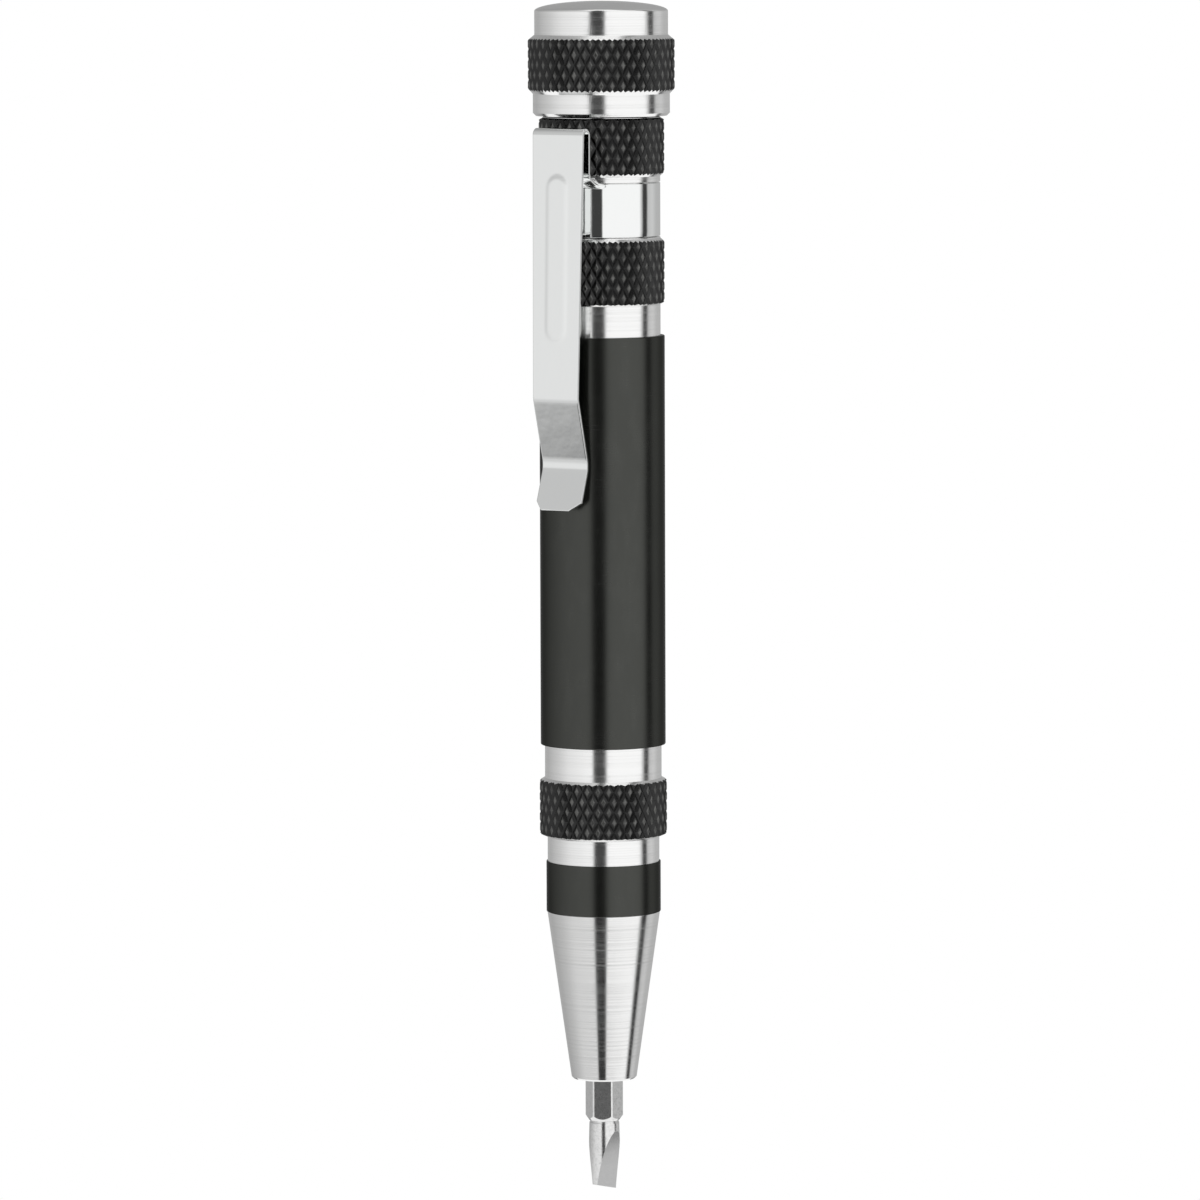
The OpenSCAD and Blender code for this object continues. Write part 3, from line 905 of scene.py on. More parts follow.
@dataclass(frozen=True)
class Knurl:
    """A band of crossed grooves that leave pyramids with small flats on top.

    Args:
        low: Height of the band's lower end.
        high: Height of its upper end.
        peak: Radius over the flats.
        under_low: Radius of what carries it at its lower end.
        under_high: Radius of what carries it at its upper end.
        cut_low: Length of the chamfer at its lower end.
        cut_high: Length of the chamfer at its upper end.
        pitch: Way round the band from one pyramid to the next.
        rise: Way along the axis from one row of pyramids to the next but one.
        depth: Depth of the grooves under the flats.
        flat_share: Share of each edge up to a pyramid's tip that its flat cuts off.
        wall: How far the sleeve's inner wall lies inside what carries it.
        slack: Largest radius, as a share of the inner wall's, that still counts as its rim.
    """

    low: float
    high: float
    peak: float
    under_low: float
    under_high: float
    cut_low: float
    cut_high: float
    pitch: float = 1.34 * MM
    rise: float = 2.44 * MM
    depth: float = 0.30 * MM
    flat_share: float = 0.27
    wall: float = 0.5 * MM
    slack: float = 1.02

    @property
    def columns(self) -> int:
        """Flats round the blank, two to a pyramid."""
        return 2 * round(TURN * self.peak / self.pitch)

    def blank(self) -> Object:
        """Makes the knurled sleeve before its ends are cut.

        Returns:
            A closed sleeve that is longer than the band.
        """
        rows = round((self.high - self.low) * 2 / self.rise) + 2
        step = self.rise / 2
        middle, half = (self.low + self.high) / 2, rows * step / 2
        crest = self.peak + self.depth * self.flat_share / (1 - self.flat_share)
        at = (0, 0, middle)
        obj = cylinder("knurl_blank", self.columns, crest, rows * step, location=at, end_fill_type="NOTHING")
        bottom = middle - half
        pick(obj, Element.EDGE, lambda _, way: abs(way.z) > step)
        bpy.ops.mesh.subdivide_edgering(number_cuts=rows - 1, interpolation="LINEAR", smoothness=0)

        def parity(point: Vector) -> int:
            """Which of the two kinds of grid point this is: 0 for a groove crossing, 1 for a crest."""
            column = round(math.atan2(point.x, point.y) / (TURN / self.columns))
            return (column + round((point.z - bottom) / step)) % 2

        pick(obj, Element.VERTEX, lambda point, _: parity(point) == 0)
        inwards = (self.peak - self.depth) / crest
        bpy.ops.transform.resize(value=(inwards, inwards, 1), center_override=ORIGIN)
        bpy.ops.mesh.select_all(action="SELECT")
        bpy.ops.mesh.quads_convert_to_tris(quad_method="SHORTEST_DIAGONAL")
        rim = half - step / 2
        pick(obj, Element.VERTEX, lambda point, _: parity(point) == 1 and abs(point.z - middle) < rim)
        bpy.ops.mesh.bevel(
            affect="VERTICES", offset_type="PERCENT", offset_pct=100 * self.flat_share, segments=1
        )
        self._line(obj, middle, half)
        return obj

    def _line(self, obj: Object, middle: float, half: float) -> None:
        """Closes the blank with an inner wall.

        Args:
            obj: The blank.
            middle: Height of its middle.
            half: Half its length.
        """
        inner = min(self.under_low, self.under_high) - self.wall
        for side in (-1, 1):
            pick(obj, Element.VERTEX, lambda point, _: (point.z - middle) * side > half - BODY.bury)
            bpy.ops.mesh.extrude_region_move()
            shrink = inner / self.peak
            bpy.ops.transform.resize(value=(shrink, shrink, 1), center_override=ORIGIN)
        pick(obj, Element.VERTEX, lambda point, _: radius_of(point) < inner * self.slack)
        bpy.ops.mesh.select_mode(type="EDGE")
        bpy.ops.mesh.bridge_edge_loops()
        close_up(obj)

    def band(self, skin: Finish, bright: Finish) -> Object:
        """Makes the finished band, with its chamfers cut bright.

        Args:
            skin: Finish of the knurl.
            bright: Finish of the chamfers.

        Returns:
            The band as a closed sleeve whose ends are buried in what carries it.
        """
        made = self.blank()
        wear(made, skin)
        far = self.peak + self.depth / 2
        deep = min(self.under_low, self.under_high) - 2 * self.wall
        ends = [
            (deep, self.low),
            (self.under_low - BODY.bury, self.low),
            (far, self.low + self.cut_low * (far - self.under_low) / (self.peak - self.under_low)),
            (far, self.high - self.cut_high * (far - self.under_high) / (self.peak - self.under_high)),
            (self.under_high - BODY.bury, self.high),
            (deep, self.high),
        ]
        shape = turn(ends, "knurl_shape", 2 * self.columns + 2)
        wear(shape, bright)
        cut(made, shape, "INTERSECT")
        return made


@dataclass(frozen=True)
class Thread:
    """A helical ridge on a cylinder, outside or inside.

    Args:
        root: Radius of the cylinder that carries it.
        height: How far the ridge stands, negative for an inside thread.
        low: Height at which it begins.
        high: Height at which it ends.
        foot_share: Width of its foot as a share of the pitch.
        tip_share: Width of its tip as a share of the pitch.
        pitch: How far it climbs in a turn.
        steps: How many flats a turn has.
    """

    root: float
    height: float
    low: float
    high: float
    foot_share: float = 0.92
    tip_share: float = 0.22
    pitch: float = BODY.thread_pitch
    steps: int = 72

    def ridge(self, finish: Finish) -> Object:
        """Makes the ridge as a closed helical bar.

        Args:
            finish: What it wears.

        Returns:
            The ridge, rooted slightly inside its cylinder.
        """
        foot, tip = self.root - math.copysign(BODY.bury, self.height), self.root + self.height
        wide, thin = self.foot_share * self.pitch / 2, self.tip_share * self.pitch / 2
        section = [(foot, -wide), (tip, -thin), (tip, thin), (foot, wide), (foot, -wide)]
        obj = draw_line([Vector((r, 0, self.low + z)) for r, z in section], "thread_ridge")
        edit(obj)
        bpy.ops.mesh.remove_doubles(threshold=MERGE)
        turns = (self.high - self.low) / self.pitch
        steps = round(self.steps * turns)
        sizes = {"angle": TURN * turns, "screw_offset": self.pitch * turns}
        modify(obj, "SCREW", axis="Z", steps=steps, render_steps=steps, **sizes)
        edit(obj)
        bpy.ops.mesh.select_all(action="DESELECT")
        bpy.ops.mesh.select_non_manifold()
        bpy.ops.mesh.fill_holes(sides=4)
        close_up(obj)
        wear(obj, finish)
        return obj


@dataclass
class Barrel:
    """The barrel: black grip, two knurled bands, clip groove, bright band and threaded neck."""

    edge: float = 0.12 * MM
    chamfer: float = 0.55 * MM
    soft_end: float = 0.3 * MM
    facing_up: float = 0.3
    bright: Finish = TurnedBright()
    black: Finish = BlackAnodised()
    knurled: Finish = KnurlBlack()

    def outline(self) -> Outline:
        """The barrel's half section without its knurls and thread.

        Returns:
            The closed outline.
        """
        relief = BODY.thread_r - BODY.thread_h
        fine = self.edge / 2
        return rounded([
            Corner(BODY.bore_r, TOP.mid_bright, fine),
            Corner(BODY.grip_r, TOP.mid_bright, self.edge),
            Corner(BODY.grip_r, TOP.grip, self.edge),
            Corner(BODY.bright_r, TOP.grip),
            Corner(BODY.bright_r, TOP.mid_knurl, fine),
            Corner(BODY.groove_r, TOP.mid_knurl, fine),
            Corner(BODY.groove_r, TOP.ring_play, fine),
            Corner(BODY.bright_r, TOP.ring_play, fine),
            Corner(BODY.bright_r, TOP.neck_knurl, fine),
            Corner(relief, TOP.neck_knurl, fine),
            Corner(relief, TOP.neck, 2 * self.edge),
            Corner(BODY.bore_r, TOP.neck, self.edge),
        ])

    def build(self) -> Object:
        """Makes the barrel.

        Returns:
            The finished piece.
        """
        obj = turn(self.outline(), "barrel_turned")
        wear(obj, self.black)
        finish_where(obj, self.bright, self._is_bright)
        for knurl in (
            Knurl(
                TOP.top_bright, TOP.mid_knurl - BODY.bury, BODY.knurl_r,
                BODY.bright_r, BODY.bright_r, self.soft_end, self.chamfer,
            ),
            Knurl(
                TOP.collar + BODY.bury, TOP.neck_knurl - BODY.bury, BODY.knurl_r,
                BODY.bright_r, BODY.bright_r, self.chamfer, self.soft_end,
            ),
        ):
            cut(obj, knurl.band(self.knurled, self.bright), "UNION")
        finish_where(obj, self.black, self._is_neck_end)
        thread = Thread(
            BODY.thread_r - BODY.thread_h, BODY.thread_h,
            TOP.neck_knurl + BODY.thread_pitch, TOP.neck - BODY.thread_pitch,
        )
        cut(obj, thread.ridge(self.black), "UNION")
        smooth(obj)
        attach(obj, "handle")
        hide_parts("barrel")
        return obj

    @staticmethod
    def _is_bright(middle: Vector, _: Vector) -> bool:
        """Whether a face was cut bright after anodising."""
        outside = radius_of(middle) > BODY.bore_r + BODY.bury
        return outside and TOP.grip < middle.z < TOP.neck_knurl

    def _is_neck_end(self, middle: Vector, way: Vector) -> bool:
        """Whether a face is part of the neck knurl's upper end, which stays black."""
        outside = radius_of(middle) > BODY.bore_r + BODY.bury
        return outside and middle.z > TOP.neck_knurl - self.soft_end - BODY.bury and way.z > self.facing_up


@dataclass
class Nose:
    """The nose: bright cone, black band, bright bands, knurl and the spigot inside the barrel."""

    end_r: float = 3.92 * MM
    edge: float = 0.22 * MM
    cone_r: float = 6.77 * MM
    band_r: float = 6.87 * MM
    low_r: float = 6.71 * MM
    knurl_rise: float = 0.15 * MM
    spigot_len: float = 7.6 * MM
    fit: float = 0.02 * MM
    socket_r: float = 3.014 * MM
    socket_end: float = 31.2 * MM
    fine: float = 0.06 * MM
    chamfer: float = 0.42 * MM
    bright: Finish = TurnedBright()
    black: Finish = BlackAnodised()
    knurled: Finish = KnurlBlack(name="nose_knurl_black", crest=7.59)

    def outline(self) -> Outline:
        """The nose's half section without its knurl.

        Returns:
            The outline from axis to axis.
        """
        spigot_r = BODY.bore_r - self.fit
        z_swap = (TOP.low_bright + TOP.nose_knurl) / 2
        z_spigot = TOP.mid_bright + self.spigot_len
        return rounded([
            Corner(0, self.socket_end),
            Corner(self.socket_r, self.socket_end),
            Corner(self.socket_r, TOP.reach, self.fine),
            Corner(self.end_r - self.edge, TOP.reach),
            Corner(self.end_r, TOP.reach + self.edge),
            Corner(self.cone_r, TOP.cone, 2 * self.fine),
            Corner(self.cone_r - self.fine, TOP.cone),
            Corner(self.band_r, TOP.cone, self.fine / 2),
            Corner(self.band_r, TOP.black_band, self.fine),
            Corner(self.low_r, TOP.black_band),
            Corner(self.low_r, z_swap),
            Corner(BODY.bright_r, z_swap),
            Corner(BODY.bright_r, TOP.mid_bright, self.fine),
            Corner(spigot_r, TOP.mid_bright),
            Corner(spigot_r, z_spigot, 8 * self.fine),
            Corner(0, z_spigot),
        ])

    def build(self) -> Object:
        """Makes the nose.

        Returns:
            The finished piece.
        """
        obj = turn(self.outline(), "nose_turned", closed=False)
        wear(obj, self.bright)
        finish_where(obj, self.black, self._is_black)
        knurl = Knurl(
            TOP.low_bright, TOP.nose_knurl, BODY.knurl_r + self.knurl_rise,
            self.low_r, BODY.bright_r, self.chamfer, self.chamfer,
        )
        cut(obj, knurl.band(self.knurled, self.bright), "UNION")
        smooth(obj)
        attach(obj, "handle")
        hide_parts("nose")
        return obj

    def _is_black(self, middle: Vector, _: Vector) -> bool:
        """Whether a face lies on the black band."""
        return TOP.cone < middle.z < TOP.black_band and radius_of(middle) > self.cone_r - self.fine


@dataclass
class Cap:
    """The screw cap: bright skirt, black knurl, bright crowned head and an inside thread."""

    skirt_r: float = 8.17 * MM
    skirt_len: float = 2.55 * MM
    knurl_r: float = 8.76 * MM
    knurl_len: float = 7.15 * MM
    head_r: float = 7.97 * MM
    head_len: float = 2.75 * MM
    crown: float = 1.2 * MM
    top_t: float = 2.1 * MM
    recess_r: float = 6.289 * MM
    edge: float = 0.24 * MM
    skirt_edge: float = 0.35 * MM
    knurl_cut: float = 0.7 * MM
    fine: float = 0.06 * MM
    crown_steps: int = 20
    bright: Finish = TurnedBright()
    knurled: Finish = KnurlBlack(name="cap_knurl_black", crest=8.70)

    @property
    def z_low(self) -> float:
        """Height of the cap's mouth."""
        return TOP.neck_knurl + BODY.gap

    @property
    def z_knurl(self) -> float:
        """Height at which the knurl begins."""
        return self.z_low + self.skirt_len

    @property
    def z_head(self) -> float:
        """Height at which the head begins."""
        return self.z_knurl + self.knurl_len

    @property
    def nut_r(self) -> float:
        """Radius at the bottom of the inside thread."""
        return BODY.thread_r + BODY.thread_gap + BODY.thread_h

    def outline(self) -> Outline:
        """The cap's half section without its knurl and thread.

        Returns:
            The outline from axis to axis.
        """
        z_rim = self.z_head + self.head_len
        z_swap = (self.z_knurl + self.z_head) / 2
        z_nut = TOP.neck + BODY.gap
        ceiling = z_rim - self.top_t
        lower = rounded([
            Corner(0, ceiling),
            Corner(self.recess_r, ceiling, self.edge),
            Corner(self.recess_r, z_nut),
            Corner(self.nut_r, z_nut),
            Corner(self.nut_r, self.z_low, self.fine),
            Corner(self.skirt_r - self.skirt_edge, self.z_low),
            Corner(self.skirt_r, self.z_low + self.skirt_edge),
            Corner(self.skirt_r, z_swap),
            Corner(self.head_r, z_swap),
        ])
        quarter = [i / self.crown_steps * math.pi / 2 for i in range(self.crown_steps)]
        dome = [(self.head_r * math.cos(a), z_rim + self.crown * math.sin(a)) for a in quarter]
        return [*lower, *dome, (0.0, z_rim + self.crown)]

    def build(self) -> Object:
        """Makes the cap.

        Returns:
            The finished piece.
        """
        obj = turn(self.outline(), "cap_turned", closed=False)
        wear(obj, self.bright)
        knurl = Knurl(
            self.z_knurl, self.z_head, self.knurl_r,
            self.skirt_r, self.head_r, self.knurl_cut, self.knurl_cut,
        )
        cut(obj, knurl.band(self.knurled, self.bright), "UNION")
        thread = Thread(
            self.nut_r, -BODY.thread_h, self.z_low + BODY.thread_pitch, TOP.neck - BODY.thread_pitch,
        )
        cut(obj, thread.ridge(self.bright), "UNION")
        smooth(obj)
        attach(obj, "end_cap")
        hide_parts("end_cap")
        return obj


@dataclass
class Clip:
    """The pen clip: one bent sheet with a ring in the groove, a riser, a fold and a springing tongue."""

    sheet: float = 0.4 * MM
    turn_deg: float = 236.0
    ring_gap_deg: float = 52.0
    ring_play: float = 0.05 * MM
    width: float = 7.2 * MM
    low_width: float = 6.4 * MM
    skim: float = 0.08 * MM
    fold_rise: float = 6.65 * MM
    fold_gap: float = 0.9 * MM
    tongue_len: float = 31.87 * MM
    lean: float = 0.73 * MM
    dip_len: float = 8.1 * MM
    lip_len: float = 5.2 * MM
    lip_lift: float = 1.7 * MM
    fold_share: float = 0.98
    bend_r: float = 2.5 * MM
    dip_r: float = 3.0 * MM
    flare: float = 0.2 * MM
    flare_steps: int = 10
    root_drop: float = 0.7 * MM
    root_rise: float = 1.0 * MM
    root_rows: int = 8
    root_tail: float = 1.0 * MM
    belly: float = 0.10 * MM
    belly_tail: float = 3.2 * MM
    round_steps: int = 60
    tip_w: tuple[float, float] = (0.8 * MM, 1.6 * MM)
    tip_h: float = 1.0 * MM
    rib_w: float = 2.7 * MM
    rib_len: float = 19.4 * MM
    rib_drop: float = 5.5 * MM
    rib_h: float = 0.09 * MM
    rib_slope: float = 0.6 * MM
    edge: float = 0.18 * MM
    bend_steps: int = 8
    edge_rows: int = 3
    sharp_deg: float = 50.0
    smooth_deg: float = 40.0
    near: float = 0.03 * MM
    across: int = 32
    ring_rows: int = 8
    tongue_rows: int = 96
    blend_lean_deg: float = 3.0
    blend_from: float = 1.6 * MM
    blend_to: float = 2.2 * MM
    plate: Finish = SpringPlate()

    @property
    def ring_r(self) -> float:
        """Radius of the ring at the middle of the sheet."""
        return BODY.groove_r + self.ring_play + self.sheet / 2

    @property
    def riser_x(self) -> float:
        """Distance of the riser's middle from the axis."""
        return BODY.knurl_r + self.skim + self.sheet / 2

    @property
    def z_ring(self) -> float:
        """Height of the ring's lower edge."""
        return TOP.mid_knurl + BODY.gap

    @property
    def z_root(self) -> float:
        """Height of the ring's upper edge, from which the riser grows."""
        return self.z_ring + LONG.ring

    @property
    def z_fold(self) -> float:
        """Height of the fold's top at the middle of the sheet."""
        return self.z_root + self.fold_rise - self.sheet / 2

    @property
    def root_half(self) -> float:
        """Half the width of the riser's root."""
        return self.width / 2 + self.flare

    @property
    def root_angle(self) -> float:
        """Half the angle that the riser's root takes of the ring."""
        return math.asin(self.root_half / self.ring_r)

    def path(self) -> list[Vector]:
        """The middle line of riser, fold and tongue, as (distance, height) from the riser's foot up.

        Returns:
            The line's points, bends as arcs and the tongue's flat run in many steps.
        """
        tongue_x = self.riser_x + self.fold_gap + self.sheet
        fold_r = (tongue_x - self.riser_x) / 2 * self.fold_share
        z_bend = self.z_fold - self.tongue_len
        z_dip = z_bend - self.dip_len
        turned = math.atan2(self.fold_gap + self.sheet + self.lean, self.dip_len)
        turned += math.atan2(self.lip_lift, self.lip_len)
        dip_x = self.riser_x - self.dip_r * (1 / math.cos(turned / 2) - 1)
        lip_x, z_lip = self.riser_x + self.lip_lift, z_dip - self.lip_len
        tip_share = self.tip_h / self.lip_len
        corners = [
            Corner(self.riser_x, self.z_root + self.root_rise),
            Corner(self.riser_x, self.z_fold, fold_r),
            Corner(tongue_x, self.z_fold, fold_r),
            Corner(tongue_x + self.lean, z_bend, self.bend_r),
            Corner(dip_x, z_dip, self.dip_r),
            Corner(lip_x + (dip_x - lip_x) * tip_share, z_lip + self.tip_h),
            Corner(lip_x, z_lip),
        ]
        bare = [Vector(p) for p in rounded(corners, self.bend_steps)]
        points = [bare[0]]
        for here, there in zip(bare, bare[1:]):
            length = (there - here).length
            steps = max(1, round(length / self.tongue_len * self.tongue_rows))
            points += [here.lerp(there, (i + 1) / steps) for i in range(steps)]
        return points

    def _ring(self) -> Object:
        """Makes the ring as a bare sheet, open at its back.

        Returns:
            The ring, with its tongue's direction along +X.
        """
        front = self.root_angle
        rest = math.radians(180 - self.ring_gap_deg / 2) - front
        plain = LONG.ring - self.root_drop
        rows = [self.z_ring + plain * i / self.ring_rows for i in range(self.ring_rows)]
        rows += [self.z_ring + plain + self.root_drop * i / self.root_rows for i in range(self.root_rows + 1)]
        x, y = self.ring_r * math.cos(front), self.ring_r * math.sin(-front)
        obj = draw_line([Vector((x, y, z)) for z in rows], "clip_sheet")
        edit(obj)
        bpy.ops.mesh.spin(steps=self.across, angle=-2 * front, center=ORIGIN, axis=UP)
        for sign in (1, -1):
            at = sign * front
            end = Vector((self.ring_r * math.cos(at), self.ring_r * math.sin(at), 0))
            pick(obj, Element.VERTEX, lambda point, _: (point.xy - end.xy).length < self.near)
            bpy.ops.mesh.spin(steps=self.round_steps, angle=-sign * rest, center=ORIGIN, axis=UP)
        return obj

    def _pick_top(self, obj: Object, z: float) -> None:
        """Selects the sheet's free edge at a height, in front.

        Args:
            obj: The sheet.
            z: The height.
        """

        def is_top(point: Vector, way: Vector) -> bool:
            """Whether an edge is part of the free edge."""
            in_front = point.x > 0 and abs(point.y) < self.root_half
            return in_front and max(abs(point.z - z), abs(way.z)) < self.near

        pick(obj, Element.EDGE, is_top)

    def build(self) -> Object:
        """Makes the clip.

        Returns:
            The finished piece.
        """
        obj = self._ring()
        points = self.path()
        self._pick_top(obj, self.z_root)
        for i in range(self.flare_steps):
            narrow = self._flared((i + 1) / self.flare_steps) / self._flared(i / self.flare_steps)
            lift = {"value": (0, 0, self.root_rise / self.flare_steps)}
            bpy.ops.mesh.extrude_region_move(TRANSFORM_OT_translate=lift)
            bpy.ops.transform.resize(value=(1, narrow, 1), center_override=ORIGIN)
        self._push(obj, self._root_lean)
        self._pick_top(obj, points[0].y)
        left, right = self._sides_at(points[0], points[-1].y)
        for here, there in zip(points, points[1:]):
            step = there - here
            bpy.ops.mesh.extrude_region_move(TRANSFORM_OT_translate={"value": (step.x, 0, step.y)})
            new_left, new_right = self._sides_at(there, points[-1].y)
            narrow = (new_right - new_left) / (right - left)
            if narrow < 1:
                middle = (new_left - narrow * left) / (1 - narrow)
                bpy.ops.transform.resize(value=(1, narrow, 1), center_override=(0, middle, 0))
            left, right = new_left, new_right
        self._push(obj, self._rib_height)
        self._thicken(obj)
        obj.rotation_euler[2] = math.radians(self.turn_deg)
        place(obj)
        wear(obj, self.plate)
        smooth(obj, self.smooth_deg)
        self._join_bodies(obj)
        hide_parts("clip_ring", "clip_tongue")
        return name_piece(obj, "clip_bent_sheet")

    @staticmethod
    def _ease(share: float) -> float:
        """A smooth step from 0 to 1, flat below 0 and above 1."""
        share = min(1.0, max(0.0, share))
        return share * share * (3 - 2 * share)

    def _flared(self, share: float) -> float:
        """Half the riser's width at a share of the flare's height."""
        return self.width / 2 + self.flare * (1 - math.sqrt(1 - (1 - share) ** 2))

    def _root_lean(self, point: Vector) -> float:
        """How far the sheet leans out towards the riser at a point of the ring or the riser's root.

        Args:
            point: A point of the sheet in the clip's own frame.

        Returns:
            The distance along X.
        """
        share = (point.z - self.z_root + self.root_drop) / (self.root_drop + self.root_rise)
        beyond = max(0.0, (abs(math.atan2(point.y, point.x)) - self.root_angle) * self.ring_r)
        if point.z > self.z_root + self.near:
            beyond = 0.0
        fade = max(0.0, 1 - beyond / self.root_tail) ** 2
        lean = (self.riser_x - point.x) * self._ease(share) * fade
        belly = self.belly * max(0.0, 1 - beyond / self.belly_tail) ** 2
        return max(lean, belly)

    @staticmethod
    def _push(obj: Object, shift: Callable[[Vector], float]) -> None:
        """Moves the sheet's points along X.

        Args:
            obj: The sheet.
            shift: Gets a point and gives how far it moves.
        """
        object_mode()
        shifts = [shift(vertex.co) for vertex in obj.data.vertices]
        far = max(shifts)
        group = obj.vertex_groups.new(name="push")
        for index, way in enumerate(shifts):
            group.add([index], way / far, "REPLACE")
        modify(obj, "DISPLACE", direction="X", vertex_group=group.name, strength=far, mid_level=0)
        obj.vertex_groups.clear()

    def _sides_at(self, point: Vector, z_tip: float) -> tuple[float, float]:
        """Where the sheet's two sides are at a point of its path.

        Args:
            point: The point, as (distance from the axis, height).
            z_tip: Height of the tongue's end.

        Returns:
            Both sides' places across the sheet.
        """
        half = self.width / 2
        if point.x > self.riser_x + self.sheet or point.y < TOP.mid_knurl:
            share = min(1.0, max(0.0, (self.z_fold - point.y) / self.tongue_len))
            half += (self.low_width - self.width) / 2 * share
        near_tip = max(0.0, 1 - (point.y - z_tip) / self.tip_h)
        return near_tip * self.tip_w[0] - half, half - near_tip * self.tip_w[1]

    def _rib_height(self, point: Vector) -> float:
        """How far the pressed rib lifts a point of the sheet, which is nowhere but on the tongue.

        Args:
            point: A point of the sheet in the clip's own frame.

        Returns:
            The distance along X.
        """
        if point.x <= self.riser_x + self.fold_gap / 2 + self.sheet:
            return 0.0
        top = self.z_fold - self.rib_drop
        end_r = self.rib_w / 2
        z = min(max(point.z, top - self.rib_len + end_r), top - end_r)
        away = math.hypot(point.y, point.z - z)
        return self.rib_h * self._ease((end_r - away) / self.rib_slope + 0.5)

    def _thicken(self, obj: Object) -> None:
        """Gives the sheet its thickness and breaks its cut edges.

        Args:
            obj: The bare sheet.
        """
        close_up(obj)
        modify(obj, "SOLIDIFY", thickness=self.sheet, offset=0, use_even_offset=True)
        limit = {"limit_method": "ANGLE", "angle_limit": math.radians(self.sharp_deg)}
        modify(obj, "BEVEL", width=self.edge, segments=self.edge_rows, **limit)

    def _join_bodies(self, obj: Object) -> None:
        """Moves the finished clip's place, turn and scale into its mesh.

        Args:
            obj: The finished clip in its place.
        """
        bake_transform(obj)


@dataclass
class FittedBit:
    """The bit in the socket: hexagon shank, shoulder, round neck and a ground blade."""

    across: float = 4.0 * MM
    length: float = 28.0 * MM
    hex_start: float = 9.2 * MM
    shoulder: float = 0.76 * MM
    neck_r: float = 1.80 * MM
    blade_w: float = 4.0 * MM
    blade_t: float = 0.46 * MM
    grind_r: float = 38.0 * MM
    grind_lean_deg: float = 6.6
    turn_deg: float = -36.5
    end_rise: float = 0.9 * MM
    corner_edge: float = 0.17 * MM
    groove: float = 0.12 * MM
    rear_edge: float = 0.35 * MM
    over: float = 1.0 * MM
    edge_rows: int = 3
    shank_steps: int = 192
    neck_steps: int = 128
    wheel_steps: int = 720
    smooth_deg: float = 20.0
    steel: Finish = BitSteel()
    ground: Finish = GroundSteel()

    def _shank(self) -> Object:
        """Makes the hexagon with its edges broken and its ends turned to cones.

        Returns:
            The shank, with two flats that face +X and -X.
        """
        low, corner = self.hex_start - self.shoulder, self.across / math.sqrt(3)
        middle = (self.length + low - self.groove) / 2
        obj = cylinder("bit_hexagon", 6, corner, self.length - low + self.groove, location=(0, 0, middle))
        pick(obj, Element.EDGE, lambda _, way: abs(way.z) > self.shoulder)
        bpy.ops.mesh.bevel(offset=self.corner_edge, segments=self.edge_rows)
        object_mode()
        wide = corner + self.over * (corner - self.neck_r) / self.shoulder
        outline = [
            (0, low - self.groove),
            (self.neck_r - self.groove, low - self.groove),
            (self.neck_r - self.groove, low + self.groove / 2),
            (self.neck_r, low + self.groove),
            (wide, self.hex_start + self.over),
            (wide, self.length - self.over),
            (corner - self.rear_edge, self.length),
            (0, self.length),
        ]
        envelope = turn(outline, "bit_envelope", self.shank_steps, closed=False)
        wear(obj, self.steel)
        wear(envelope, self.steel)
        cut(obj, envelope, "INTERSECT")
        return obj

    def _blade(self) -> Object:
        """Makes the neck and the blade, ground from both sides.

        Returns:
            The blade, whose ground faces look along X.
        """
        top = self.hex_start - self.shoulder - self.groove / 2
        inner = self.neck_r - 2 * self.groove
        neck = [
            (0, 0),
            (self.blade_w / 2, 0),
            (self.neck_r, top - self.groove),
            (self.neck_r - self.groove / 2, top),
            (inner, top),
            (inner, self.hex_start),
            (0, self.hex_start),
        ]
        obj = turn(neck, "bit_blade", self.neck_steps, closed=False)
        wear(obj, self.steel)
        lean = math.radians(self.grind_lean_deg)
        away, down = self.blade_t / 2 + self.grind_r * math.cos(lean), self.grind_r * math.sin(lean)
        long = self.across + 2 * self.over
        for x in (-away, away):
            pose = {"location": (x, 0, -down), "rotation": (math.pi / 2, 0, 0)}
            wheel = cylinder("grinding_wheel", self.wheel_steps, self.grind_r, long, **pose)
            wear(wheel, self.ground)
            cut(obj, wheel, "DIFFERENCE")
        return obj

    def build(self) -> Object:
        """Makes the fitted bit.

        Returns:
            The finished piece.
        """
        obj = self._shank()
        cut(obj, self._blade(), "UNION")
        edit(obj)
        half = self.blade_w / 2
        normal = Vector((0, self.end_rise, 2 * half)).normalized()
        bpy.ops.mesh.bisect(
            plane_co=(0, half, 0), plane_no=normal, clear_inner=True, use_fill=True, threshold=MERGE
        )
        object_mode()
        obj.rotation_euler[2] = math.radians(self.turn_deg)
        place(obj)
        smooth(obj, self.smooth_deg)
        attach(obj, "driver_bit")
        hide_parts("driver_bit")
        return name_piece(obj, "bit_ground_blade")


@dataclass(frozen=True)
class CarriedNode:
    """A node of the frame whose shape is right and that only gets a finish."""

    node: str
    finish: Finish

    def dress(self) -> Object:
        """Puts the finish on the node.

        Returns:
            The node's object.
        """
        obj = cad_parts[self.node]
        for slot in obj.material_slots:
            slot.material = self.finish.material()
        return obj


# Studio


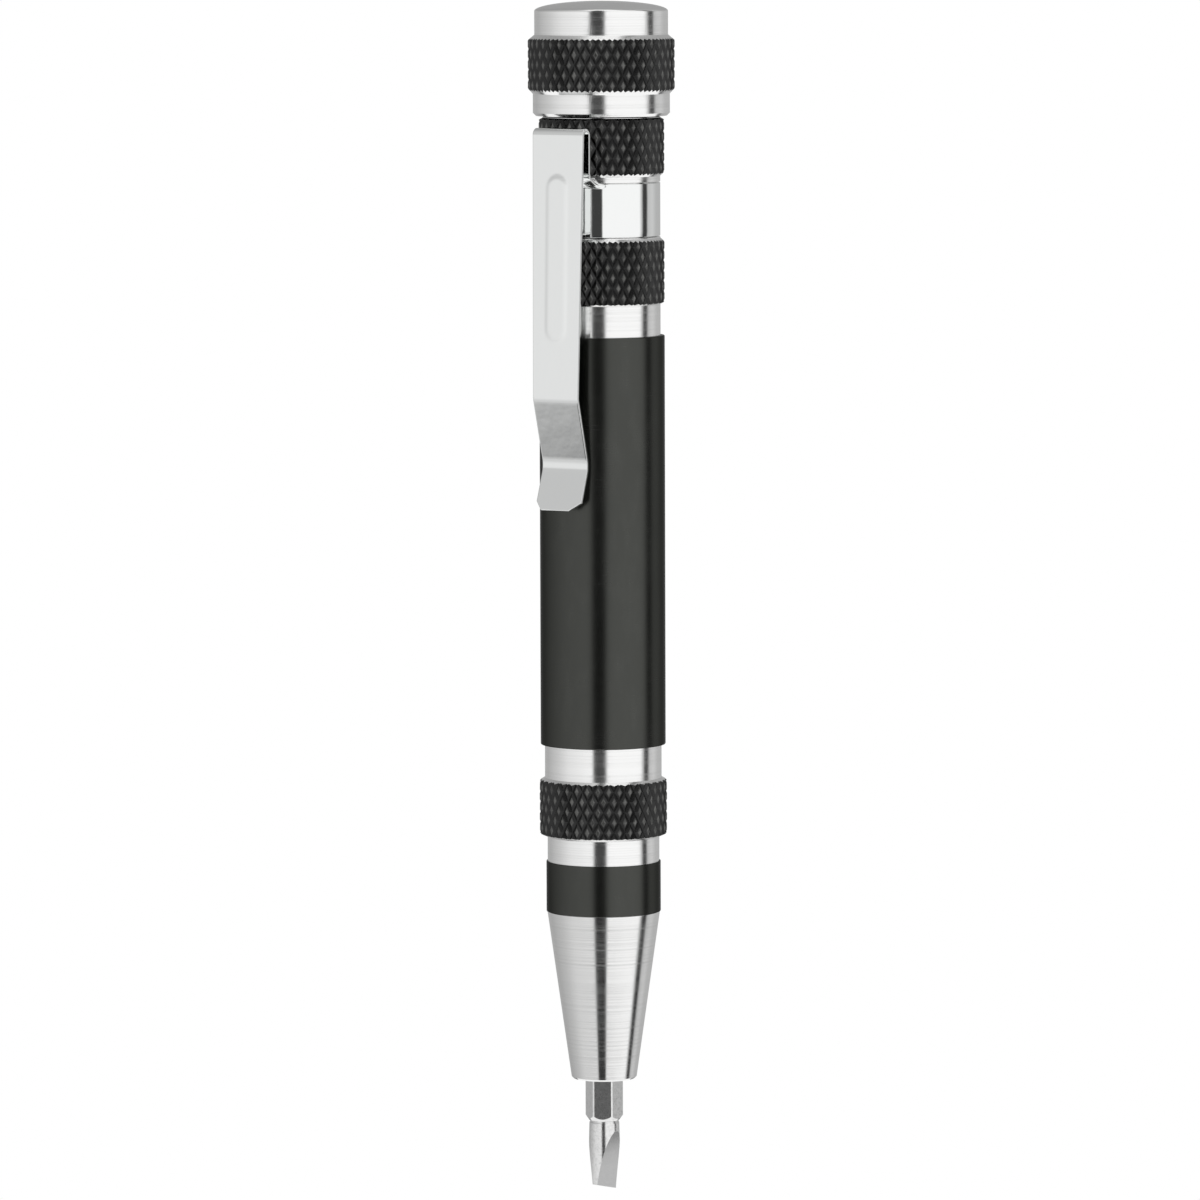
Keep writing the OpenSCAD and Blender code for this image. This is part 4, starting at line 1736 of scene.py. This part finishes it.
@dataclass(frozen=True)
class Studio:
    """Camera, soft lamps, pale floor, white backdrop and a tent wall with dark flags that metal mirrors."""

    camera_back: float = 0.957
    camera_up: float = 0.156
    camera_pitch_deg: float = 5.06
    camera_roll_deg: float = 0.17
    lens: float = 240.4
    shift_x: float = -0.0006
    shift_y: float = 0.0013
    near: float = 0.05
    far: float = 20.0
    floor_z: float = -0.036
    floor_r: float = 4.0
    floor_flats: int = 96
    shadow_from: float = 0.11
    shadow_to: float = 0.18
    light: float = 0.9
    lamp_power: float = 3.0
    lamp_size: float = 0.7
    aim_z: float = 0.07
    floor_grain: float = 60.0
    floor_greys: tuple[Colour, Colour] = ((0.86,) * 3, (0.90,) * 3)
    wall_flats: int = 128
    wall_r: float = 2.2
    wall_height: float = 16.0
    wall_low: tuple[float, float] = (-0.85, -0.25)
    wall_high: tuple[float, float] = (0.20, 0.60)
    floor_flag: tuple[float, float] = (-1.22, -0.96)
    floor_glow: tuple[float, float] = (-1.5, -1.28)
    wall_dark: float = 0.03
    # Azimuths from the camera's side, to the right, in degrees, and the tent's grey there
    tent: tuple[tuple[float, float], ...] = (
        (-180, 0.44), (-140, 0.42), (-100, 0.60), (-72, 0.80), (-45, 0.88),
        (-22, 0.97), (-18, 0.05), (4, 0.05), (8, 1.0),
        (80, 1.0), (86, 0.50), (90, 0.05), (99, 0.05), (104, 0.55), (118, 0.62), (135, 0.48), (180, 0.44),
    )
    # Shares of that grey which are lost below and above the horizon
    sag: tuple[tuple[float, float], ...] = (
        (-180, 0.18), (-21, 0.18), (-17, 0.60), (4, 0.60), (8, 0.04), (82, 0.04),
        (91, 0.5), (100, 0.5), (106, 0.10), (180, 0.10),
    )
    rise: tuple[tuple[float, float], ...] = (
        (-180, 0.20), (-60, 0.28), (-21, 0.20), (-17, 0.4), (4, 0.4), (8, 0.0), (82, 0.0),
        (104, 0.2), (180, 0.2),
    )

    # Each lamp's name, place and share of the power
    lamp_rows: tuple[tuple[str, tuple[float, float, float], float], ...] = (
        ("lamp_left", (-1.0, -0.9, 0.9), 1.0),
        ("lamp_right", (1.1, -0.6, 0.7), 0.8),
        ("lamp_top", (0.1, 0.2, 1.3), 0.7),
    )

    def camera(self) -> Object:
        """Makes the camera at the photograph's place.

        Returns:
            The camera.
        """
        data = bpy.data.cameras.new("camera")
        data.type = "PERSP"
        data.lens = self.lens
        data.shift_x = self.shift_x
        data.shift_y = self.shift_y
        data.clip_start = self.near
        data.clip_end = self.far
        obj = bpy.data.objects.new("camera", data)
        obj.location = (0, -self.camera_back, self.camera_up)
        pitch = math.radians(90 - self.camera_pitch_deg)
        obj.rotation_euler = (pitch, math.radians(self.camera_roll_deg), 0)
        bpy.context.scene.collection.objects.link(obj)
        bpy.context.scene.camera = obj
        return obj

    def world(self) -> None:
        """Makes the white backdrop and the plain light that fills in from all sides."""
        world = bpy.data.worlds.new("backdrop")
        bpy.context.scene.world = world
        graph = graph_of(world)
        colour = graph.mix(graph.shown(), (self.light,) * 3, WHITE)
        back = graph.node("ShaderNodeBackground", None, {0: colour, 1: 1.0})
        graph.node("ShaderNodeOutputWorld", None, {"Surface": graph.wire(back)})

    @staticmethod
    def _cover(obj: Object, name: str) -> Graph:
        """Gives an object a new material, whose graph is returned empty."""
        obj.data.materials.append(bpy.data.materials.new(name))
        return graph_of(obj.data.materials[0])

    def wall(self) -> Object:
        """Makes the tent wall round the set, which only mirrored rays meet.

        Returns:
            The wall.
        """
        open_ends = {"end_fill_type": "NOTHING", "location": ORIGIN}
        obj = cylinder("tent_wall", self.wall_flats, self.wall_r, self.wall_height, **open_ends)
        graph = self._cover(obj, "tent_cloth")
        x, y, z = graph.parts(graph.spot)
        turned = x.maths("ARCTAN2", x, y * -1.0) * (1 / TURN) + 0.5
        grey, sag, rise = (self._round(graph, turned, row) for row in (self.tent, self.sag, self.rise))
        low, high = 1.0 - z.ramp(*self.wall_low), z.ramp(*self.wall_high)
        cloth = grey * (1.0 - low * sag) * (1.0 - high * rise)
        lit = graph.mix(z.ramp(*self.floor_flag), (self.wall_dark,) * 3, cloth)
        lit = graph.mix(z.ramp(*self.floor_glow), WHITE, lit)
        glow = graph.node("ShaderNodeEmission", None, {"Color": lit, "Strength": 1.0})
        graph.node("ShaderNodeOutputMaterial", None, {"Surface": graph.wire(glow)})
        for ray in ("camera", "diffuse", "transmission", "shadow"):
            setattr(obj, f"visible_{ray}", False)
        return obj

    @staticmethod
    def _round(graph: Graph, turned: Wire, row: Sequence[tuple[float, float]]) -> Wire:
        """Reads a row of greys by azimuth, which comes as a share of a turn."""
        stops = [((azimuth + 180) / 360, grey) for azimuth, grey in row]
        return graph.wire(graph.node("ShaderNodeValToRGB", {"stops": stops}, {0: turned}))

    def lamps(self) -> None:
        """Hangs three soft lamps that shade the object and drop its shadow on the floor."""
        for name, spot, share in self.lamp_rows:
            data = bpy.data.lights.new(name, "AREA")
            data.shape = "DISK"
            data.size = self.lamp_size
            data.energy = self.lamp_power * share
            obj = bpy.data.objects.new(name, data)
            obj.location = spot
            aim = Vector((0, 0, self.aim_z)) - obj.location
            obj.rotation_euler = aim.to_track_quat("-Z", "Y").to_euler()
            obj.visible_glossy = False
            bpy.context.scene.collection.objects.link(obj)

    def floor(self) -> Object:
        """Makes the pale floor, which keeps the shadow near the object and turns white further out.

        Returns:
            The floor.
        """
        object_mode()
        bpy.ops.object.select_all(action="DESELECT")
        at = (0, 0, self.floor_z)
        size = {"vertices": self.floor_flats, "radius": self.floor_r}
        bpy.ops.mesh.primitive_circle_add(fill_type="NGON", location=at, **size)
        obj = name_piece(bpy.context.object, "floor")
        graph = self._cover(obj, "pale_floor")
        away = graph.radius(graph.spot).ramp(self.shadow_from, self.shadow_to)
        pale = graph.mix(graph.noise(graph.spot, self.floor_grain, detail=3.0), *self.floor_greys)
        matt = graph.node("ShaderNodeBsdfDiffuse", None, {"Color": pale})
        white = graph.node("ShaderNodeEmission", None, {"Color": (*WHITE, 1.0), "Strength": 1.0})
        both = {0: away * graph.shown(), 1: graph.wire(matt), 2: graph.wire(white)}
        mixed = graph.node("ShaderNodeMixShader", None, both)
        graph.node("ShaderNodeOutputMaterial", None, {"Surface": graph.wire(mixed)})
        obj.visible_glossy = False
        return obj

    def build(self) -> None:
        """Sets the whole studio up."""
        bpy.context.scene.view_settings.view_transform = "Standard"
        self.camera()
        self.world()
        self.wall()
        self.lamps()
        self.floor()


def main() -> None:
    """Builds the studio and every piece, in order."""
    logging.basicConfig(level=logging.INFO, format="%(name)s: %(message)s")
    Studio().build()
    for maker in (Nose(), Barrel(), Cap(), Clip(), FittedBit()):
        made = maker.build()
        LOG.info("%s: %d faces", made.name, len(made.data.polygons))
    carried: dict[Finish, tuple[str, ...]] = {
        PadFoam(): ("cap_pad",),
        SocketSteel(): ("bit_socket",),
        MagnetNickel(): ("socket_magnet",),
        ClearTray(): ("upper_bit_tray", "lower_bit_tray"),
        BitSteel(): (
            "slotted_bit_small", "slotted_bit_medium", "slotted_bit_large",
            "phillips_bit_000", "phillips_bit_00", "phillips_bit_0", "phillips_bit_1",
        ),
    }
    for finish, nodes in carried.items():
        for node in nodes:
            LOG.info("%s: %s", CarriedNode(node, finish).dress().name, finish.name)


if __name__ == "__main__":
    main()
